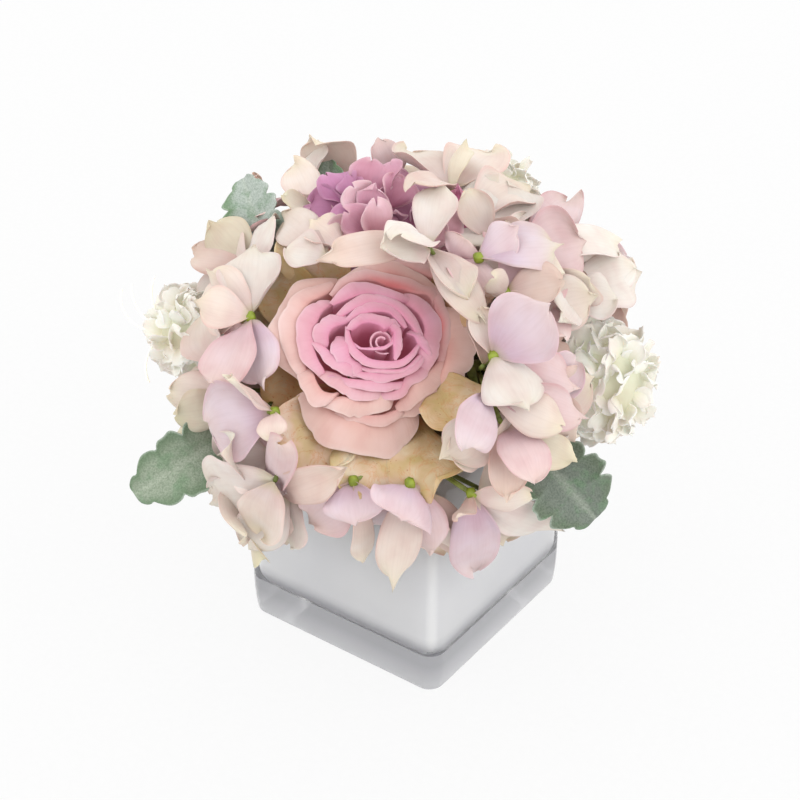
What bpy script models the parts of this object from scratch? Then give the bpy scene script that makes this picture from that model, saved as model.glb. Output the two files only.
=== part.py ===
"""Flower arrangement in a thick glass cube vase.

A garden rose faces the front corner of a low dome of hydrangea, with a mauve head, white
heads and dusty miller leaves. Every stem stands in its own hole in the foam that fills the vase.
All working sizes are in millimetres and become metres when an object is made.
The origin is the centre of the vase's foot, +Z is up and the vase's sides face X and Y.
Working heights count from a level a little above the foot, and objects are raised by that much.
"""
import math

import bpy
import numpy as np
from mathutils.bvhtree import BVHTree

# Scale and clearances
METRES_PER_MM = 0.001
GAP = 0.3
BLADE = 0.7

# Vase
FOOT_LEVEL = -3.0
RIM_LEVEL = 100.0
VASE_WIDTH = 97.6
VASE_CORNER = 7.4
LEAST_CORNER = 0.5
GLASS_WALL = 4.7
GLASS_BASE = 14.6
FOOT_TAPER = 1.5
FOOT_RISE = 19.0
RIM_ROUND = 2.0
LINING_WALL = 1.2
LINING_FLOOR_ROUND = 8.0
CORNER_STEPS = 3
BEND_STEPS = 4
FOAM_CORNER_STEPS = 2

# Foam
FOAM_GAP = 0.4
FOAM_SHOULDERS = ((0.0, 98.0), (5.4, 104.0), (15.4, 109.0), (25.4, 111.0))
FOAM_CORNER_EASE = 1.0
STEM_FOOT = 60.0
STEM_RISE = 8.0
HOLE_SIDES = 6
HOLE_DEPTH = 1.5
HOLE_RUN_OUT = 14.0

# The side that the flowers face, turned from -Y towards +X and looked down on
VIEW_TURN = math.radians(36.0)
VIEW_TILT = math.radians(33.56)
VIEW_DISTANCE = 815.7
VIEW_ACROSS = -3.0
VIEW_HEIGHT = 97.0

# The turn from one petal or floret to the next where they follow a spiral
GOLDEN_ANGLE = math.pi * (3 - math.sqrt(5))

# Dome of petal tips
DOME_CENTRE = np.array([0.0, 0.0, 122.0])
DOME_REACH = np.array([97.0, 97.0, 71.0])

# Rose
ROSE_PLACE = (-6.9, 24.9, 74.0)
ROSE_LEAN = (9.0, 20.0)
ROSE_DEPTH = 42.0
ROSE_CORE = ((-1.0, 9.0), (4.0, 13.0), (9.0, 15.5), (16.0, 13.0), (20.0, 6.0))
STEM_RADIUS = 2.5
PETIOLE_RADIUS = 1.3
PETIOLE_SINK = 3.0

# Petal rings of the rose: turns, rim radius, rim height, half spread, shift of the ring's centre
ROSE_RINGS = (
    ((10, 130, 250), 8.0, 41.0, 76.0, (-0.5, 0.0)),
    ((50, 140, 230, 320), 14.0, 42.0, 58.0, (-1.0, 0.0)),
    ((95, 185, 275, 5), 20.5, 40.5, 56.0, (-2.5, -1.0)),
    ((20, 92, 164, 236, 308), 27.5, 37.0, 46.0, (-3.5, -1.0)),
    ((65, 137, 209, 281, 353), 38.5, 31.0, 44.0, (-3.0, -4.0)),
    ((132, 163, 204, 235, 270, 316), 48.0, 22.0, 24.0, (-2.0, -3.0)),
)
ROSE_ACROSS = (-1.0, -0.33, 0.33, 1.0)
ROSE_UP_CLOSED = (0.1, 0.5, 1.0)
ROSE_UP_OPEN = (0.03, 0.3, 0.74, 1.0)
ROSE_FOOT_RADIUS = 1.5
ROSE_CUP_POWER = 0.55
ROSE_SKEW = 0.09
ROSE_OPEN_RIM = 30.0

# Wound bud: first direction and sweep in degrees, radius at both ends, foot and height, points, rows
BUD_COIL = (40.0, 620.0)
BUD_RADII = (1.2, 4.8)
BUD_FOOT = 5.0
BUD_HEIGHT = 34.0
BUD_POINTS = 8
BUD_ROWS = (0.0, 0.6, 1.0)

# Rose stem: distances down the axis and radii of the hip, and its sepals
HIP_DROPS = (0.0, 4.0, 8.0)
HIP_RADII = (5.0, 5.4, 3.2)
ROSE_ENTRY_DROP = 14.0
SEPAL_COUNT = 5
SEPAL_START = 20.0
SEPAL_DROP = 2.5
SEPAL_ROOT = 3.5
SEPAL_SIZE = (13.0, 5.5)


def unit(vector):
    """The vector at length one."""
    return vector / np.linalg.norm(vector)


TO_VIEWER = np.array([
    math.sin(VIEW_TURN) * math.cos(VIEW_TILT),
    -math.cos(VIEW_TURN) * math.cos(VIEW_TILT),
    math.sin(VIEW_TILT),
])
VIEW_RIGHT = np.array([math.cos(VIEW_TURN), math.sin(VIEW_TURN), 0.0])
VIEW_UP = np.cross(TO_VIEWER, VIEW_RIGHT)
VIEW_CENTRE = VIEW_RIGHT * VIEW_ACROSS + np.array([0.0, 0.0, VIEW_HEIGHT])
EYE = VIEW_CENTRE + TO_VIEWER * VIEW_DISTANCE


# Heads of hydrangea: hub, entry into the foam, foot of the stem, and florets.
# A floret is (across, up, lift) of its eye and then its petals as (across, up, width, lift, roll)
# of their tips. Across and up are read from the front, lift is a share of the dome.
HYDRANGEAS = {
    "hydrangea_left": (
        (-20, -36, 113), (-20, -35, 108), (-14, -30),
        (
            ((-61, 34, 0.86), ((-59, 61, 19, 1.0, 0), (-77, 52, 12, 0.94, 0), (-82, 40, 12, 0.98, 0),
                               (-74, 6, 16, 1.0, 0), (-57, 7, 16, 0.96, 0))),
            ((-60, 54, 0.78), ((-76, 72, 14, 0.98, 0), (-84, 60, 13, 0.95, 0))),
            ((-51, -5, 0.88), ((-78, -10, 23, 1.0, 0), (-70, 10, 7, 1.03, 60), (-52, -16, 8, 0.96, 0))),
            ((-68, -1, 0.80), ((-94, 3, 12, 1.0, 0), (-95, -8, 15, 0.95, 0))),
            ((-50, -35, 0.88), ((-76, -40, 21, 1.02, 0), (-47, -16, 12, 0.98, 0),
                                (-25, -30, 11, 0.98, 0), (-52, -57, 15, 0.98, 0))),
            ((-59, -29, 0.80), ((-71, -19, 16, 0.94, 0), (-58, -66, 9, 1.0, 0), (-66, -56, 13, 0.95, 0))),
        ),
    ),
    "hydrangea_front": (
        (35, -42, 107), (33, -39, 103), (24, -30),
        (
            ((-19, -33, 0.88), ((-18, -50, 18, 1.0, 0), (-36, -50, 15, 0.96, 0), (-16, -65, 6, 1.0, 40))),
            ((4, -34, 0.88), ((1, -48, 22, 1.04, 0), (11, -60, 15, 1.0, 0), (-3, -73, 11, 1.02, 0),
                              (19, -61, 12, 0.96, 0))),
            ((29, -38, 0.90), ((30, -69, 15, 1.02, 0), (53, -39, 12, 1.0, 0), (63, -50, 15, 0.97, 0),
                               (24, -49, 6, 1.04, 50))),
        ),
    ),
    "hydrangea_right": (
        (34, 0, 124), (31, 0, 112), (22, 0),
        (
            ((36, 3, 0.88), ((28, -19, 14, 1.0, 0), (66, -10, 13, 1.02, 0), (73, -7, 11, 0.96, 0))),
            ((42, -11, 0.82), ((44, -39, 11, 1.0, 0), (55, -32, 16, 1.02, 0), (70, -24, 10, 0.98, 0),
                               (20, -21, 13, 0.92, 0))),
            ((38, 18, 0.90), ((34, 37, 10, 0.98, 0), (60, 38, 22, 1.0, 0), (52, -2, 20, 1.04, 0),
                              (72, 6, 13, 0.95, 0))),
            ((43, 44, 0.86), ((54, 58, 15, 0.96, 0), (66, 48, 14, 1.0, 0), (38, 50, 7, 1.0, 50),
                              (51, 36, 7, 1.0, -40))),
            ((67, 41, 0.80), ((96, 51, 17, 1.0, 0), (88, 42, 14, 0.96, 0), (77, 49, 15, 0.98, 0),
                              (66, 34, 11, 0.98, 0))),
        ),
    ),
    "hydrangea_top": (
        (14, 16, 146), (10, 10, 114), (8, 10),
        (
            ((49, 58, 0.82), ((74, 65, 22, 1.0, 0), (70, 83, 13, 0.96, 0), (90, 64, 13, 0.92, 0),
                              (52, 75, 12, 0.98, 0))),
            ((32, 58, 0.90), ((64, 62, 16, 1.03, 0), (47, 70, 11, 1.0, 0))),
            ((36, 66, 0.82), ((42, 88, 24, 1.0, 0), (27, 85, 9, 1.0, 30))),
            ((21, 85, 0.88), ((37, 103, 18, 1.0, 0), (3, 102, 17, 1.0, 0), (27, 104, 6, 1.0, 30),
                              (5, 87, 10, 1.0, 0))),
            ((-2, 88, 0.82), ((-8, 106, 12, 0.97, 0),)),
            ((11, 62, 0.84), ((16, 86, 11, 1.0, 0), (28, 44, 11, 0.97, 0), (33, 31, 10, 0.93, 0),
                              (0, 68, 14, 1.03, 0), (-30, 58, 11, 1.0, 0))),
        ),
    ),
    "hydrangea_back_left": (
        (-30, 22, 124), (-27, 18, 112), (-22, 16),
        (
            ((-34, 74, 0.80), ((-43, 96, 11, 1.0, 0), (-48, 82, 8, 1.0, 20))),
        ),
    ),
    "hydrangea_back_right": ((14, 38, 122), (12, 34, 110), (8, 28), ()),
}
PETAL_WIDENING = 1.3
PETAL_FACING = 0.3
PLAIN_WIDTH = 13.0
HUB_RADIUS = 4.5
EYE_RADIUS = 2.2
ROOT_STEPS = (-0.9, 0.3, 1.3)
PEDICEL_RADIUS = 1.0
STALK_BOWS = (3.0, 6.0, 9.0, 13.0, 18.0, 24.0, 30.0)
STALK_SHARES = (0.5, 0.75, 0.3, 0.9)
STALK_TURNS = np.radians(np.arange(0, 360, 30))

# Florets that carry the dome round the sides that the front view does not show
RULE_PLACES = 300
RULE_SPACING = 28.0
FRONT_SPACING = 25.0
RULE_LIFT = 0.86
RULE_PETAL = (24.0, 21.0)
RULE_TURN = 0.4
RULE_DEPTH = 1.25
RULE_LOWEST = 103.0
RULE_TIP_RISE = 3.5
FRONT_CONE = 0.12

# Mauve head
MAUVE_CENTRE = np.array([-15.0, 8.0, 165.0])
MAUVE_AXIS = (0.1, -0.25, 1.0)
MAUVE_CORE = (14.0, 14.0, 14.0)
MAUVE_RULE = (21, 1.3, 14.0, 16.5, 0.15)
MAUVE_ENTRY = ((-8, 0, 115), (-6, -2))
HEAD_STEM_RADIUS = 2.2
ROOT_SINK = 2.0

# White heads: centre, radii of the core, rule of the petals, entry, foot.
# A rule is the count of petals, how far down the head they go, their reach, width and cup.
WHITE_HEADS = {
    "white_head_left": ((-84, 28, 14), (11, 11, 12), (18, 1.55, 8.0, 12.5, 0), (-37, -24, 108), (-30, -22)),
    "white_head_right": ((84, 8, 20), (13, 13, 17), (20, 1.6, 9.5, 13.5, 0), (37, 20, 107), (30, 18)),
    "white_head_back": ((40, 84, -14), (10, 10, 11), (9, 1.2, 7.5, 12.5, 0), (-4, 36, 108), (-4, 32)),
}

# Dusty miller leaves seen from the front: root and tip as (across, up, towards the viewer), width,
# narrowing towards the tip, entry, foot
FRONT_LEAVES = {
    "leaf_upper_left": ((-50, 54, 20), (-64, 91, 6), 26.0, 0.8, (-39, -4, 105), (-38, -8)),
    "leaf_top": ((-26, 70, -6), (-29, 98, -8), 17.0, 1.2, (-12, 18, 110), (-10, 16)),
    "leaf_lower_left": ((-63, -9, 36), (-109, -39, 40), 27.0, 1.1, (-34, -39, 103), (-28, -36)),
    "leaf_lower_right": ((51, -16, 62), (80, -49, 58), 33.0, 1.2, (38, -20, 104), (32, -18)),
}

# Dusty miller leaves behind: root, tip, width, narrowing, entry, foot
BACK_LEAVES = {
    "leaf_back_left": ((-64, 32, 112), (-94, 50, 100), 26.0, 1.2, (-38, 30, 104), (-32, 28)),
    "leaf_back": ((-22, 66, 114), (-34, 98, 106), 28.0, 1.1, (-20, 40, 102), (-18, 36)),
    "leaf_back_right": ((28, 62, 110), (42, 93, 100), 26.0, 1.2, (32, 38, 103), (30, 34)),
}
WHITE_HEAD_FACING = 0.8
LEAF_LOBES = 4
ROOM_ROUND_ROSE = 50.0
ROOM_ROUND_MAUVE = 34.0
ROOM_ROUND_WHITE = 38.0

# Bends and sizes that are tried for a petal until it is clear of the other nodes
PETAL_SHIFTS = (0.0, 2.5, -2.5, 5.0, -5.0, 7.5, -7.5, 10.0, -10.0, 13.0, -13.0, 17.0, -17.0)
PETAL_SHRINKS = (1.0, 0.85, 0.7)

# Colours
CLEAR_GLASS = (0.80, 0.79, 0.78)
WHITE_GLASS = (0.80, 0.80, 0.82)
FOAM_BROWN = (0.10, 0.07, 0.04)
ROSE_PINK = (0.80, 0.42, 0.46)
STEM_GREEN = (0.20, 0.28, 0.07)
CREAM_PINK = (0.80, 0.66, 0.60)
MAUVE_PINK = (0.58, 0.24, 0.36)
PETAL_WHITE = (0.84, 0.86, 0.70)
FELT_GREEN = (0.33, 0.42, 0.34)


def clear_scene():
    """Remove every object of the scene."""
    for item in list(bpy.data.objects):
        bpy.data.objects.remove(item, do_unlink=True)


def material(name, colour, roughness, transmission=0.0):
    """A Principled material of one colour."""
    made = bpy.data.materials.new(name)
    made.use_nodes = True
    shader = made.node_tree.nodes["Principled BSDF"]
    shader.inputs["Base Color"].default_value = (*colour, 1.0)
    shader.inputs["Roughness"].default_value = roughness
    shader.inputs["Transmission Weight"].default_value = transmission
    return made


def make_object(name, solid, surface=None):
    """An object from a solid in millimetres, given as its points and its faces."""
    points, faces = solid
    mesh = bpy.data.meshes.new(name)
    raised = np.asarray(points) - (0.0, 0.0, FOOT_LEVEL)
    mesh.from_pydata((raised * METRES_PER_MM).tolist(), [], faces)
    mesh.validate()
    made = bpy.data.objects.new(name, mesh)
    bpy.context.collection.objects.link(made)
    if surface is not None:
        mesh.materials.append(surface)
    return made


def seen_at(across, up, lift):
    """The point of the dome, scaled by lift, behind (across, up) in the front view.

    Past the dome's edge it is the point where the line of sight comes nearest to the dome.
    """
    ray = unit(VIEW_CENTRE + VIEW_RIGHT * across + VIEW_UP * up - EYE)
    reach = DOME_REACH * lift
    start = (EYE - DOME_CENTRE) / reach
    step = ray / reach
    a = step @ step
    b = start @ step
    c = start @ start - 1.0
    root = math.sqrt(max(b * b - a * c, 0.0))
    return EYE + ray * (-b - root) / a


def dome_normal(point):
    """The outward direction of the dome at a point."""
    return unit((point - DOME_CENTRE) / DOME_REACH ** 2)


def in_front(place):
    """The point at (across, up, towards the viewer), across and up as the front view shows them."""
    across, up, depth = place
    nearer = (VIEW_DISTANCE - depth) / VIEW_DISTANCE
    return VIEW_CENTRE + (VIEW_RIGHT * across + VIEW_UP * up) * nearer + TO_VIEWER * depth


# Solids from grids

def facing_out(points, faces):
    """The solid with its faces turned outwards, so that its volume is positive."""
    points = np.asarray(points, dtype=float)
    middle = points.mean(axis=0)
    volume = 0.0
    for face in faces:
        corners = points[list(face)] - middle
        for second, third in zip(corners[1:-1], corners[2:]):
            volume += corners[0] @ np.cross(second, third)
    if volume < 0:
        faces = [tuple(face)[::-1] for face in faces]
    return points, [tuple(int(index) for index in face) for face in faces]


def thicken(sheet, thickness):
    """A closed solid from a grid of points: both faces, set off along the normals, and the edge."""
    rows, columns = sheet.shape[:2]
    along = np.gradient(sheet, axis=0)
    across = np.gradient(sheet, axis=1)
    normal = np.cross(along, across)
    normal /= np.maximum(np.linalg.norm(normal, axis=2, keepdims=True), 1e-9)
    top = sheet + normal * thickness / 2
    bottom = sheet - normal * thickness / 2
    points = np.concatenate([top.reshape(-1, 3), bottom.reshape(-1, 3)])
    index = np.arange(rows * columns).reshape(rows, columns)
    a, b = index[:-1, :-1].ravel(), index[1:, :-1].ravel()
    c, d = index[1:, 1:].ravel(), index[:-1, 1:].ravel()
    upper = np.concatenate([np.stack([a, b, c], 1), np.stack([a, c, d], 1)])
    lower = upper[:, ::-1] + rows * columns
    edge = np.concatenate([index[:, 0][::-1], index[0, 1:], index[1:, -1], index[-1, :-1][::-1][:-1]])
    following = np.roll(edge, -1)
    under = edge + rows * columns
    under_following = following + rows * columns
    sides = np.concatenate([np.stack([following, edge, under], 1),
                            np.stack([following, under, under_following], 1)])
    faces = np.concatenate([upper, lower, sides[:, ::-1]])
    return facing_out(points, faces)


def blade_sheet(u, v, blade):
    """A petal's grid of points for u along it and v across it.

    The half width is sin(pi u^narrowing)^fullness, the midrib rises by sin(pi u) and the edges lift or
    droop with the square of v. A ruffle waves the edge along u.
    """
    root, tip, width, outward = blade["root"], blade["tip"], blade["width"], blade["outward"]
    length = np.linalg.norm(tip - root)
    ahead = (tip - root) / length
    face = unit(outward - ahead * (outward @ ahead))
    side = np.cross(face, ahead)
    roll = math.radians(blade.get("roll", 0.0))
    face, side = face * math.cos(roll) + side * math.sin(roll), side * math.cos(roll) - face * math.sin(roll)
    u_grid, v_grid = np.meshgrid(u, v, indexing="ij")
    swell = np.maximum(np.sin(np.pi * u_grid ** blade.get("narrowing", 1.6)), 0.0)
    half = width / 2 * swell ** blade.get("fullness", 0.6)
    half = half * lobed(u_grid, blade.get("lobes", 0))
    rise = blade.get("arch", 0.12) * length * np.sin(np.pi * u_grid)
    rise += blade.get("cup", -0.1) * width * (half / width * 2) * v_grid ** 2
    rise += blade.get("ruffle", 0.0) * width * v_grid ** 2 * np.sin(9 * u_grid + 2 * v_grid)
    return (root + ahead * (length * u_grid)[..., None] + side * (half * v_grid)[..., None]
            + face * rise[..., None])


def lobed(u, count):
    """The share of the full width at u on a leaf whose edge has this many round lobes a side."""
    if not count:
        return 1.0
    notch = 1.0 - np.abs(np.sin(np.pi * (count + 0.5) * u))
    return 1.0 - 0.26 * notch ** 2


PETAL_U = np.array([0.03, 0.36, 0.72, 0.96])
PETAL_V = np.array([-1.0, 0.0, 1.0])
PLAIN_V = np.array([-1.0, 1.0])
LEAF_U = np.array([0.03, 0.111, 0.222, 0.333, 0.444, 0.555, 0.667, 0.778, 0.889, 0.965])


def petal_solid(blade, extra=0.0):
    """A petal as a solid, or with a margin all round for testing its clearance."""
    grown = dict(blade)
    grown["width"] = blade["width"] + 2 * extra
    grown["tip"] = blade["tip"] + unit(blade["tip"] - blade["root"]) * extra
    u = LEAF_U if blade.get("lobes", 0) else PETAL_U
    v = PLAIN_V if blade.get("plain", False) else PETAL_V
    return thicken(blade_sheet(u, v, grown), BLADE + 2 * extra)


def tube(path, radii, sides):
    """A tube along a path of points, with a radius for each point and flat ends."""
    path = np.asarray(path, dtype=float)
    radii = np.broadcast_to(radii, len(path))
    ahead = np.gradient(path, axis=0)
    ahead /= np.linalg.norm(ahead, axis=1, keepdims=True)
    guide = np.array([0.31, 0.95, 0.07])
    across = np.cross(ahead, guide)
    across /= np.linalg.norm(across, axis=1, keepdims=True)
    other = np.cross(ahead, across)
    turn = np.linspace(0, 2 * np.pi, sides, endpoint=False)
    ring = (across[:, None] * np.cos(turn)[None, :, None] + other[:, None] * np.sin(turn)[None, :, None])
    points = (path[:, None] + ring * radii[:, None, None]).reshape(-1, 3)
    faces = []
    for row in range(len(path) - 1):
        for column in range(sides):
            after = (column + 1) % sides
            low, high = row * sides, (row + 1) * sides
            faces.append((low + column, low + after, high + after, high + column))
    faces.append(tuple(range(sides))[::-1])
    faces.append(tuple((len(path) - 1) * sides + column for column in range(sides)))
    return facing_out(points, faces)


def ball(centre, radii, rings=5, sides=8):
    """A round body of rings and sides about a centre, with a radius for each axis."""
    tilt = np.linspace(0, np.pi, rings + 1)[1:-1]
    turn = np.linspace(0, 2 * np.pi, sides, endpoint=False)
    body = np.stack([np.outer(np.sin(tilt), np.cos(turn)), np.outer(np.sin(tilt), np.sin(turn)),
                     np.outer(np.cos(tilt), np.ones(sides))], axis=2).reshape(-1, 3)
    points = np.concatenate([[[0, 0, 1]], body, [[0, 0, -1]]]) * np.broadcast_to(radii, 3) + centre
    faces = []
    last = len(points) - 1
    for column in range(sides):
        after = (column + 1) % sides
        faces.append((0, 1 + column, 1 + after))
        for row in range(rings - 2):
            low, high = 1 + row * sides, 1 + (row + 1) * sides
            faces.append((low + column, high + column, high + after, low + after))
        faces.append((last, last - sides + after, last - sides + column))
    return facing_out(points, faces)


def bead(centre, radius):
    """A small eight-sided bead, the eye of a floret."""
    corners = np.array([[1, 0, 0], [0, 1, 0], [-1, 0, 0], [0, -1, 0], [0, 0, 1], [0, 0, -1]]) * radius
    faces = [(0, 1, 4), (1, 2, 4), (2, 3, 4), (3, 0, 4), (1, 0, 5), (2, 1, 5), (3, 2, 5), (0, 3, 5)]
    return facing_out(corners + centre, faces)


# Joining and cutting

def evaluated(item):
    """Apply an object's modifiers to its own mesh."""
    graph = bpy.context.evaluated_depsgraph_get()
    mesh = bpy.data.meshes.new_from_object(item.evaluated_get(graph))
    item.modifiers.clear()
    item.data = mesh


def keep_main_body(item):
    """Keep the object's largest body, which fills sealed hollows and drops loose scraps."""
    mesh = item.data
    mesh.calc_loop_triangles()
    parent = list(range(len(mesh.vertices)))

    def find(index):
        while parent[index] != index:
            parent[index] = parent[parent[index]]
            index = parent[index]
        return index

    for edge in mesh.edges:
        first, second = find(edge.vertices[0]), find(edge.vertices[1])
        parent[first] = second
    group = np.array([find(index) for index in range(len(parent))])
    if len(np.unique(group)) == 1:
        return
    points = np.array([vertex.co for vertex in mesh.vertices])
    extents = {}
    for label in np.unique(group):
        held = points[group == label]
        extents[label] = np.prod(held.max(axis=0) - held.min(axis=0) + 1e-6)
    main = max(extents, key=extents.get)
    faces = [tuple(polygon.vertices) for polygon in mesh.polygons if group[polygon.vertices[0]] == main]
    used = sorted({index for face in faces for index in face})
    renumbered = {old: new for new, old in enumerate(used)}
    cleaned = bpy.data.meshes.new(item.name)
    cleaned.from_pydata(points[used].tolist(), [], [[renumbered[i] for i in face] for face in faces])
    for surface in mesh.materials:
        cleaned.materials.append(surface)
    item.data = cleaned


def join(name, solids, surface):
    """One body from a node's solids by a single union, the first of them carrying all the others.

    The manifold solver joins hundreds of crossing closed solids at once, where the exact one is slow.
    """
    body = make_object(name, solids[0], surface)
    others = bpy.data.collections.new(name + "_parts")
    bpy.context.scene.collection.children.link(others)
    for number, solid in enumerate(solids[1:]):
        piece = make_object(f"{name}_part_{number}", solid)
        bpy.context.collection.objects.unlink(piece)
        others.objects.link(piece)
    union = body.modifiers.new("Join", "BOOLEAN")
    union.operation = "UNION"
    union.operand_type = "COLLECTION"
    union.collection = others
    union.solver = "MANIFOLD"
    evaluated(body)
    for piece in list(others.objects):
        bpy.data.objects.remove(piece, do_unlink=True)
    bpy.data.collections.remove(others)
    keep_main_body(body)


# Clearance between nodes

def tree_of(solid):
    """A search tree over a solid's faces."""
    points, faces = solid
    return BVHTree.FromPolygons(np.asarray(points).tolist(), faces)


class Placed:
    """The search trees of what is already placed, by node."""

    def __init__(self):
        self.trees = {}

    def add(self, node, solid):
        """Note a solid of a node."""
        self.trees.setdefault(node, []).append(tree_of(solid))

    def crossings(self, node, tree):
        """How many solids of other nodes, and of the same node, a tree crosses."""
        others = 0
        own = 0
        for name, trees in self.trees.items():
            hits = sum(1 for other in trees if tree.overlap(other))
            if name == node:
                own += hits
            else:
                others += hits
        return others, own


PLACED = Placed()


def settle(node, blade, slide):
    """Bend a blade's tip along slide until it is clear of the other nodes, or shorten it.

    Among the clear bends it takes the first that crosses fewest blades of its own node.
    """
    for shrink in PETAL_SHRINKS:
        best = None
        for shift in PETAL_SHIFTS:
            tried = dict(blade)
            tried["tip"] = blade["root"] + (blade["tip"] - blade["root"]) * shrink + slide * shift
            tried["width"] = blade["width"] * shrink
            others, own = PLACED.crossings(node, tree_of(petal_solid(tried, GAP + 0.1)))
            if others == 0 and (best is None or own < best[0]):
                best = (own, tried)
            if others == 0 and own <= 1:
                break
        if best is not None:
            PLACED.add(node, petal_solid(best[1]))
            return best[1]
    return None


# Stems

STEMS = []


def stem_path(top, entry, foot):
    """From the top over a curve into the foam at entry, then straight to the foot."""
    top, entry = np.asarray(top, dtype=float), np.asarray(entry, dtype=float)
    foot = np.array([foot[0], foot[1], STEM_FOOT])
    above = entry + unit(entry - foot) * max(STEM_RISE, 0.5 * (top[2] - entry[2]))
    share = np.linspace(0, 1, 4)[:, None]
    curve = top * (1 - share) ** 2 + above * 2 * share * (1 - share) + entry * share ** 2
    return np.concatenate([curve, [foot]])


def stem_solid(node, top, entry, foot, radius, sides=5):
    """A stem, noted for its hole in the foam and for the clearance of other nodes."""
    path = stem_path(top, entry, foot)
    solid = tube(path, radius, sides)
    STEMS.append((path[-2], path[-1], radius))
    PLACED.add(node, solid)
    return solid


# Vase and foam

def square_loop(half, corner, height, steps=CORNER_STEPS):
    """A square of half side with round corners, as points from above anticlockwise."""
    corner = max(corner, LEAST_CORNER)
    turn = np.radians(np.linspace(0, 90, steps + 1))
    x = half - corner + corner * np.cos(turn)
    y = half - corner + corner * np.sin(turn)
    quarters = [(x, y), (-y, x), (-x, -y), (y, -x)]
    ring = np.concatenate([np.stack(pair, axis=1) for pair in quarters])
    return np.column_stack([ring, np.full(len(ring), height)])


def loft(loops):
    """A solid through loops of equal count, closed flat at the first and the last."""
    count = len(loops[0])
    points = np.concatenate(loops)
    faces = [tuple(range(count))[::-1]]
    for row in range(len(loops) - 1):
        for column in range(count):
            after = (column + 1) % count
            low, high = row * count, (row + 1) * count
            faces.append((low + column, low + after, high + after, high + column))
    faces.append(tuple((len(loops) - 1) * count + column for column in range(count)))
    return points, faces


def glass_loops(steps=CORNER_STEPS, bend=BEND_STEPS):
    """Loops of the clear cube from its foot over the rim to the floor of its hollow."""
    half = VASE_WIDTH / 2
    inner = half - GLASS_WALL
    inner_corner = VASE_CORNER - GLASS_WALL
    loops = []
    for angle in np.linspace(0, np.pi / 2, bend):
        inset = FOOT_TAPER * (1 - math.sin(angle))
        height = FOOT_LEVEL + FOOT_RISE * (1 - math.cos(angle))
        loops.append(square_loop(half - inset, VASE_CORNER - inset * 0.6, height, steps))
    loops.append(square_loop(half, VASE_CORNER, RIM_LEVEL - RIM_ROUND, steps))
    eased = RIM_ROUND * 0.3
    loops.append(square_loop(half - eased, VASE_CORNER - eased, RIM_LEVEL - eased, steps))
    loops.append(square_loop(half - RIM_ROUND, VASE_CORNER - RIM_ROUND, RIM_LEVEL, steps))
    loops.append(square_loop(inner, inner_corner, RIM_LEVEL, steps))
    floor = FOOT_LEVEL + GLASS_BASE
    hollow = lining_loops(inner, inner_corner, floor, RIM_LEVEL, LINING_FLOOR_ROUND, steps, bend)
    return loops + hollow[-2::-1]


def lining_loops(half, corner, floor, top, rounding, steps=CORNER_STEPS, bend=BEND_STEPS):
    """Loops of a square shell's face with a rounded floor edge, from its floor up."""
    loops = []
    for angle in np.linspace(0, np.pi / 2, bend):
        inset = rounding * (1 - math.sin(angle))
        height = floor + rounding * (1 - math.cos(angle))
        loops.append(square_loop(half - inset, corner - inset * 0.2, height, steps))
    loops.append(square_loop(half, corner, top, steps))
    return loops


def lining_shell_loops(grow=0.0, steps=CORNER_STEPS, bend=BEND_STEPS):
    """Loops of the white layer, outer face up and inner face down, its outer face grown by an amount."""
    half = VASE_WIDTH / 2 - GLASS_WALL - GAP
    corner = VASE_CORNER - GLASS_WALL - GAP
    floor = FOOT_LEVEL + GLASS_BASE + GAP
    outer = lining_loops(half + grow, corner + grow, floor - grow, RIM_LEVEL,
                         LINING_FLOOR_ROUND + grow, steps, bend)
    inner = lining_loops(half - LINING_WALL, corner - LINING_WALL, floor + LINING_WALL, RIM_LEVEL,
                         LINING_FLOOR_ROUND - LINING_WALL, steps, bend)
    return outer + inner[::-1]


def vase_layers(clear, white):
    """The clear cube with its heavy base, and the white layer inside it, of one wall all over."""
    for name, loops, surface in (("vase_clear_glass", glass_loops(), clear),
                                 ("vase_white_lining", lining_shell_loops(), white)):
        solid = loft(loops)
        PLACED.add(name, solid)
        make_object(name, solid, surface)


def foam_block(surface):
    """Foam that fills the lining and rises over the rim with bevelled shoulders, a hole for each stem."""
    inset = GLASS_WALL + GAP + LINING_WALL + FOAM_GAP
    half = VASE_WIDTH / 2 - inset
    corner = VASE_CORNER - inset + FOAM_CORNER_EASE
    floor = FOOT_LEVEL + GLASS_BASE + GAP + LINING_WALL + FOAM_GAP
    rounding = LINING_FLOOR_ROUND
    loops = [square_loop(half - rounding, corner, floor, FOAM_CORNER_STEPS),
             square_loop(half, corner, floor + rounding, FOAM_CORNER_STEPS)]
    for shoulder, height in FOAM_SHOULDERS:
        loops.append(square_loop(half - shoulder, corner, height, FOAM_CORNER_STEPS))
    foam = make_object("floral_foam", loft(loops), surface)
    for number, (entry, foot, radius) in enumerate(STEMS):
        along = unit(entry - foot)
        wide = (radius + FOAM_GAP) / math.cos(math.pi / HOLE_SIDES)
        hole = tube([foot - along * HOLE_DEPTH, entry + along * HOLE_RUN_OUT], wide, HOLE_SIDES)
        cutter = make_object(f"stem_hole_{number}", hole)
        cut = foam.modifiers.new("Hole", "BOOLEAN")
        cut.operation = "DIFFERENCE"
        cut.object = cutter
        cut.solver = "EXACT"
        evaluated(foam)
        bpy.data.objects.remove(cutter, do_unlink=True)


# Rose

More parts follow.
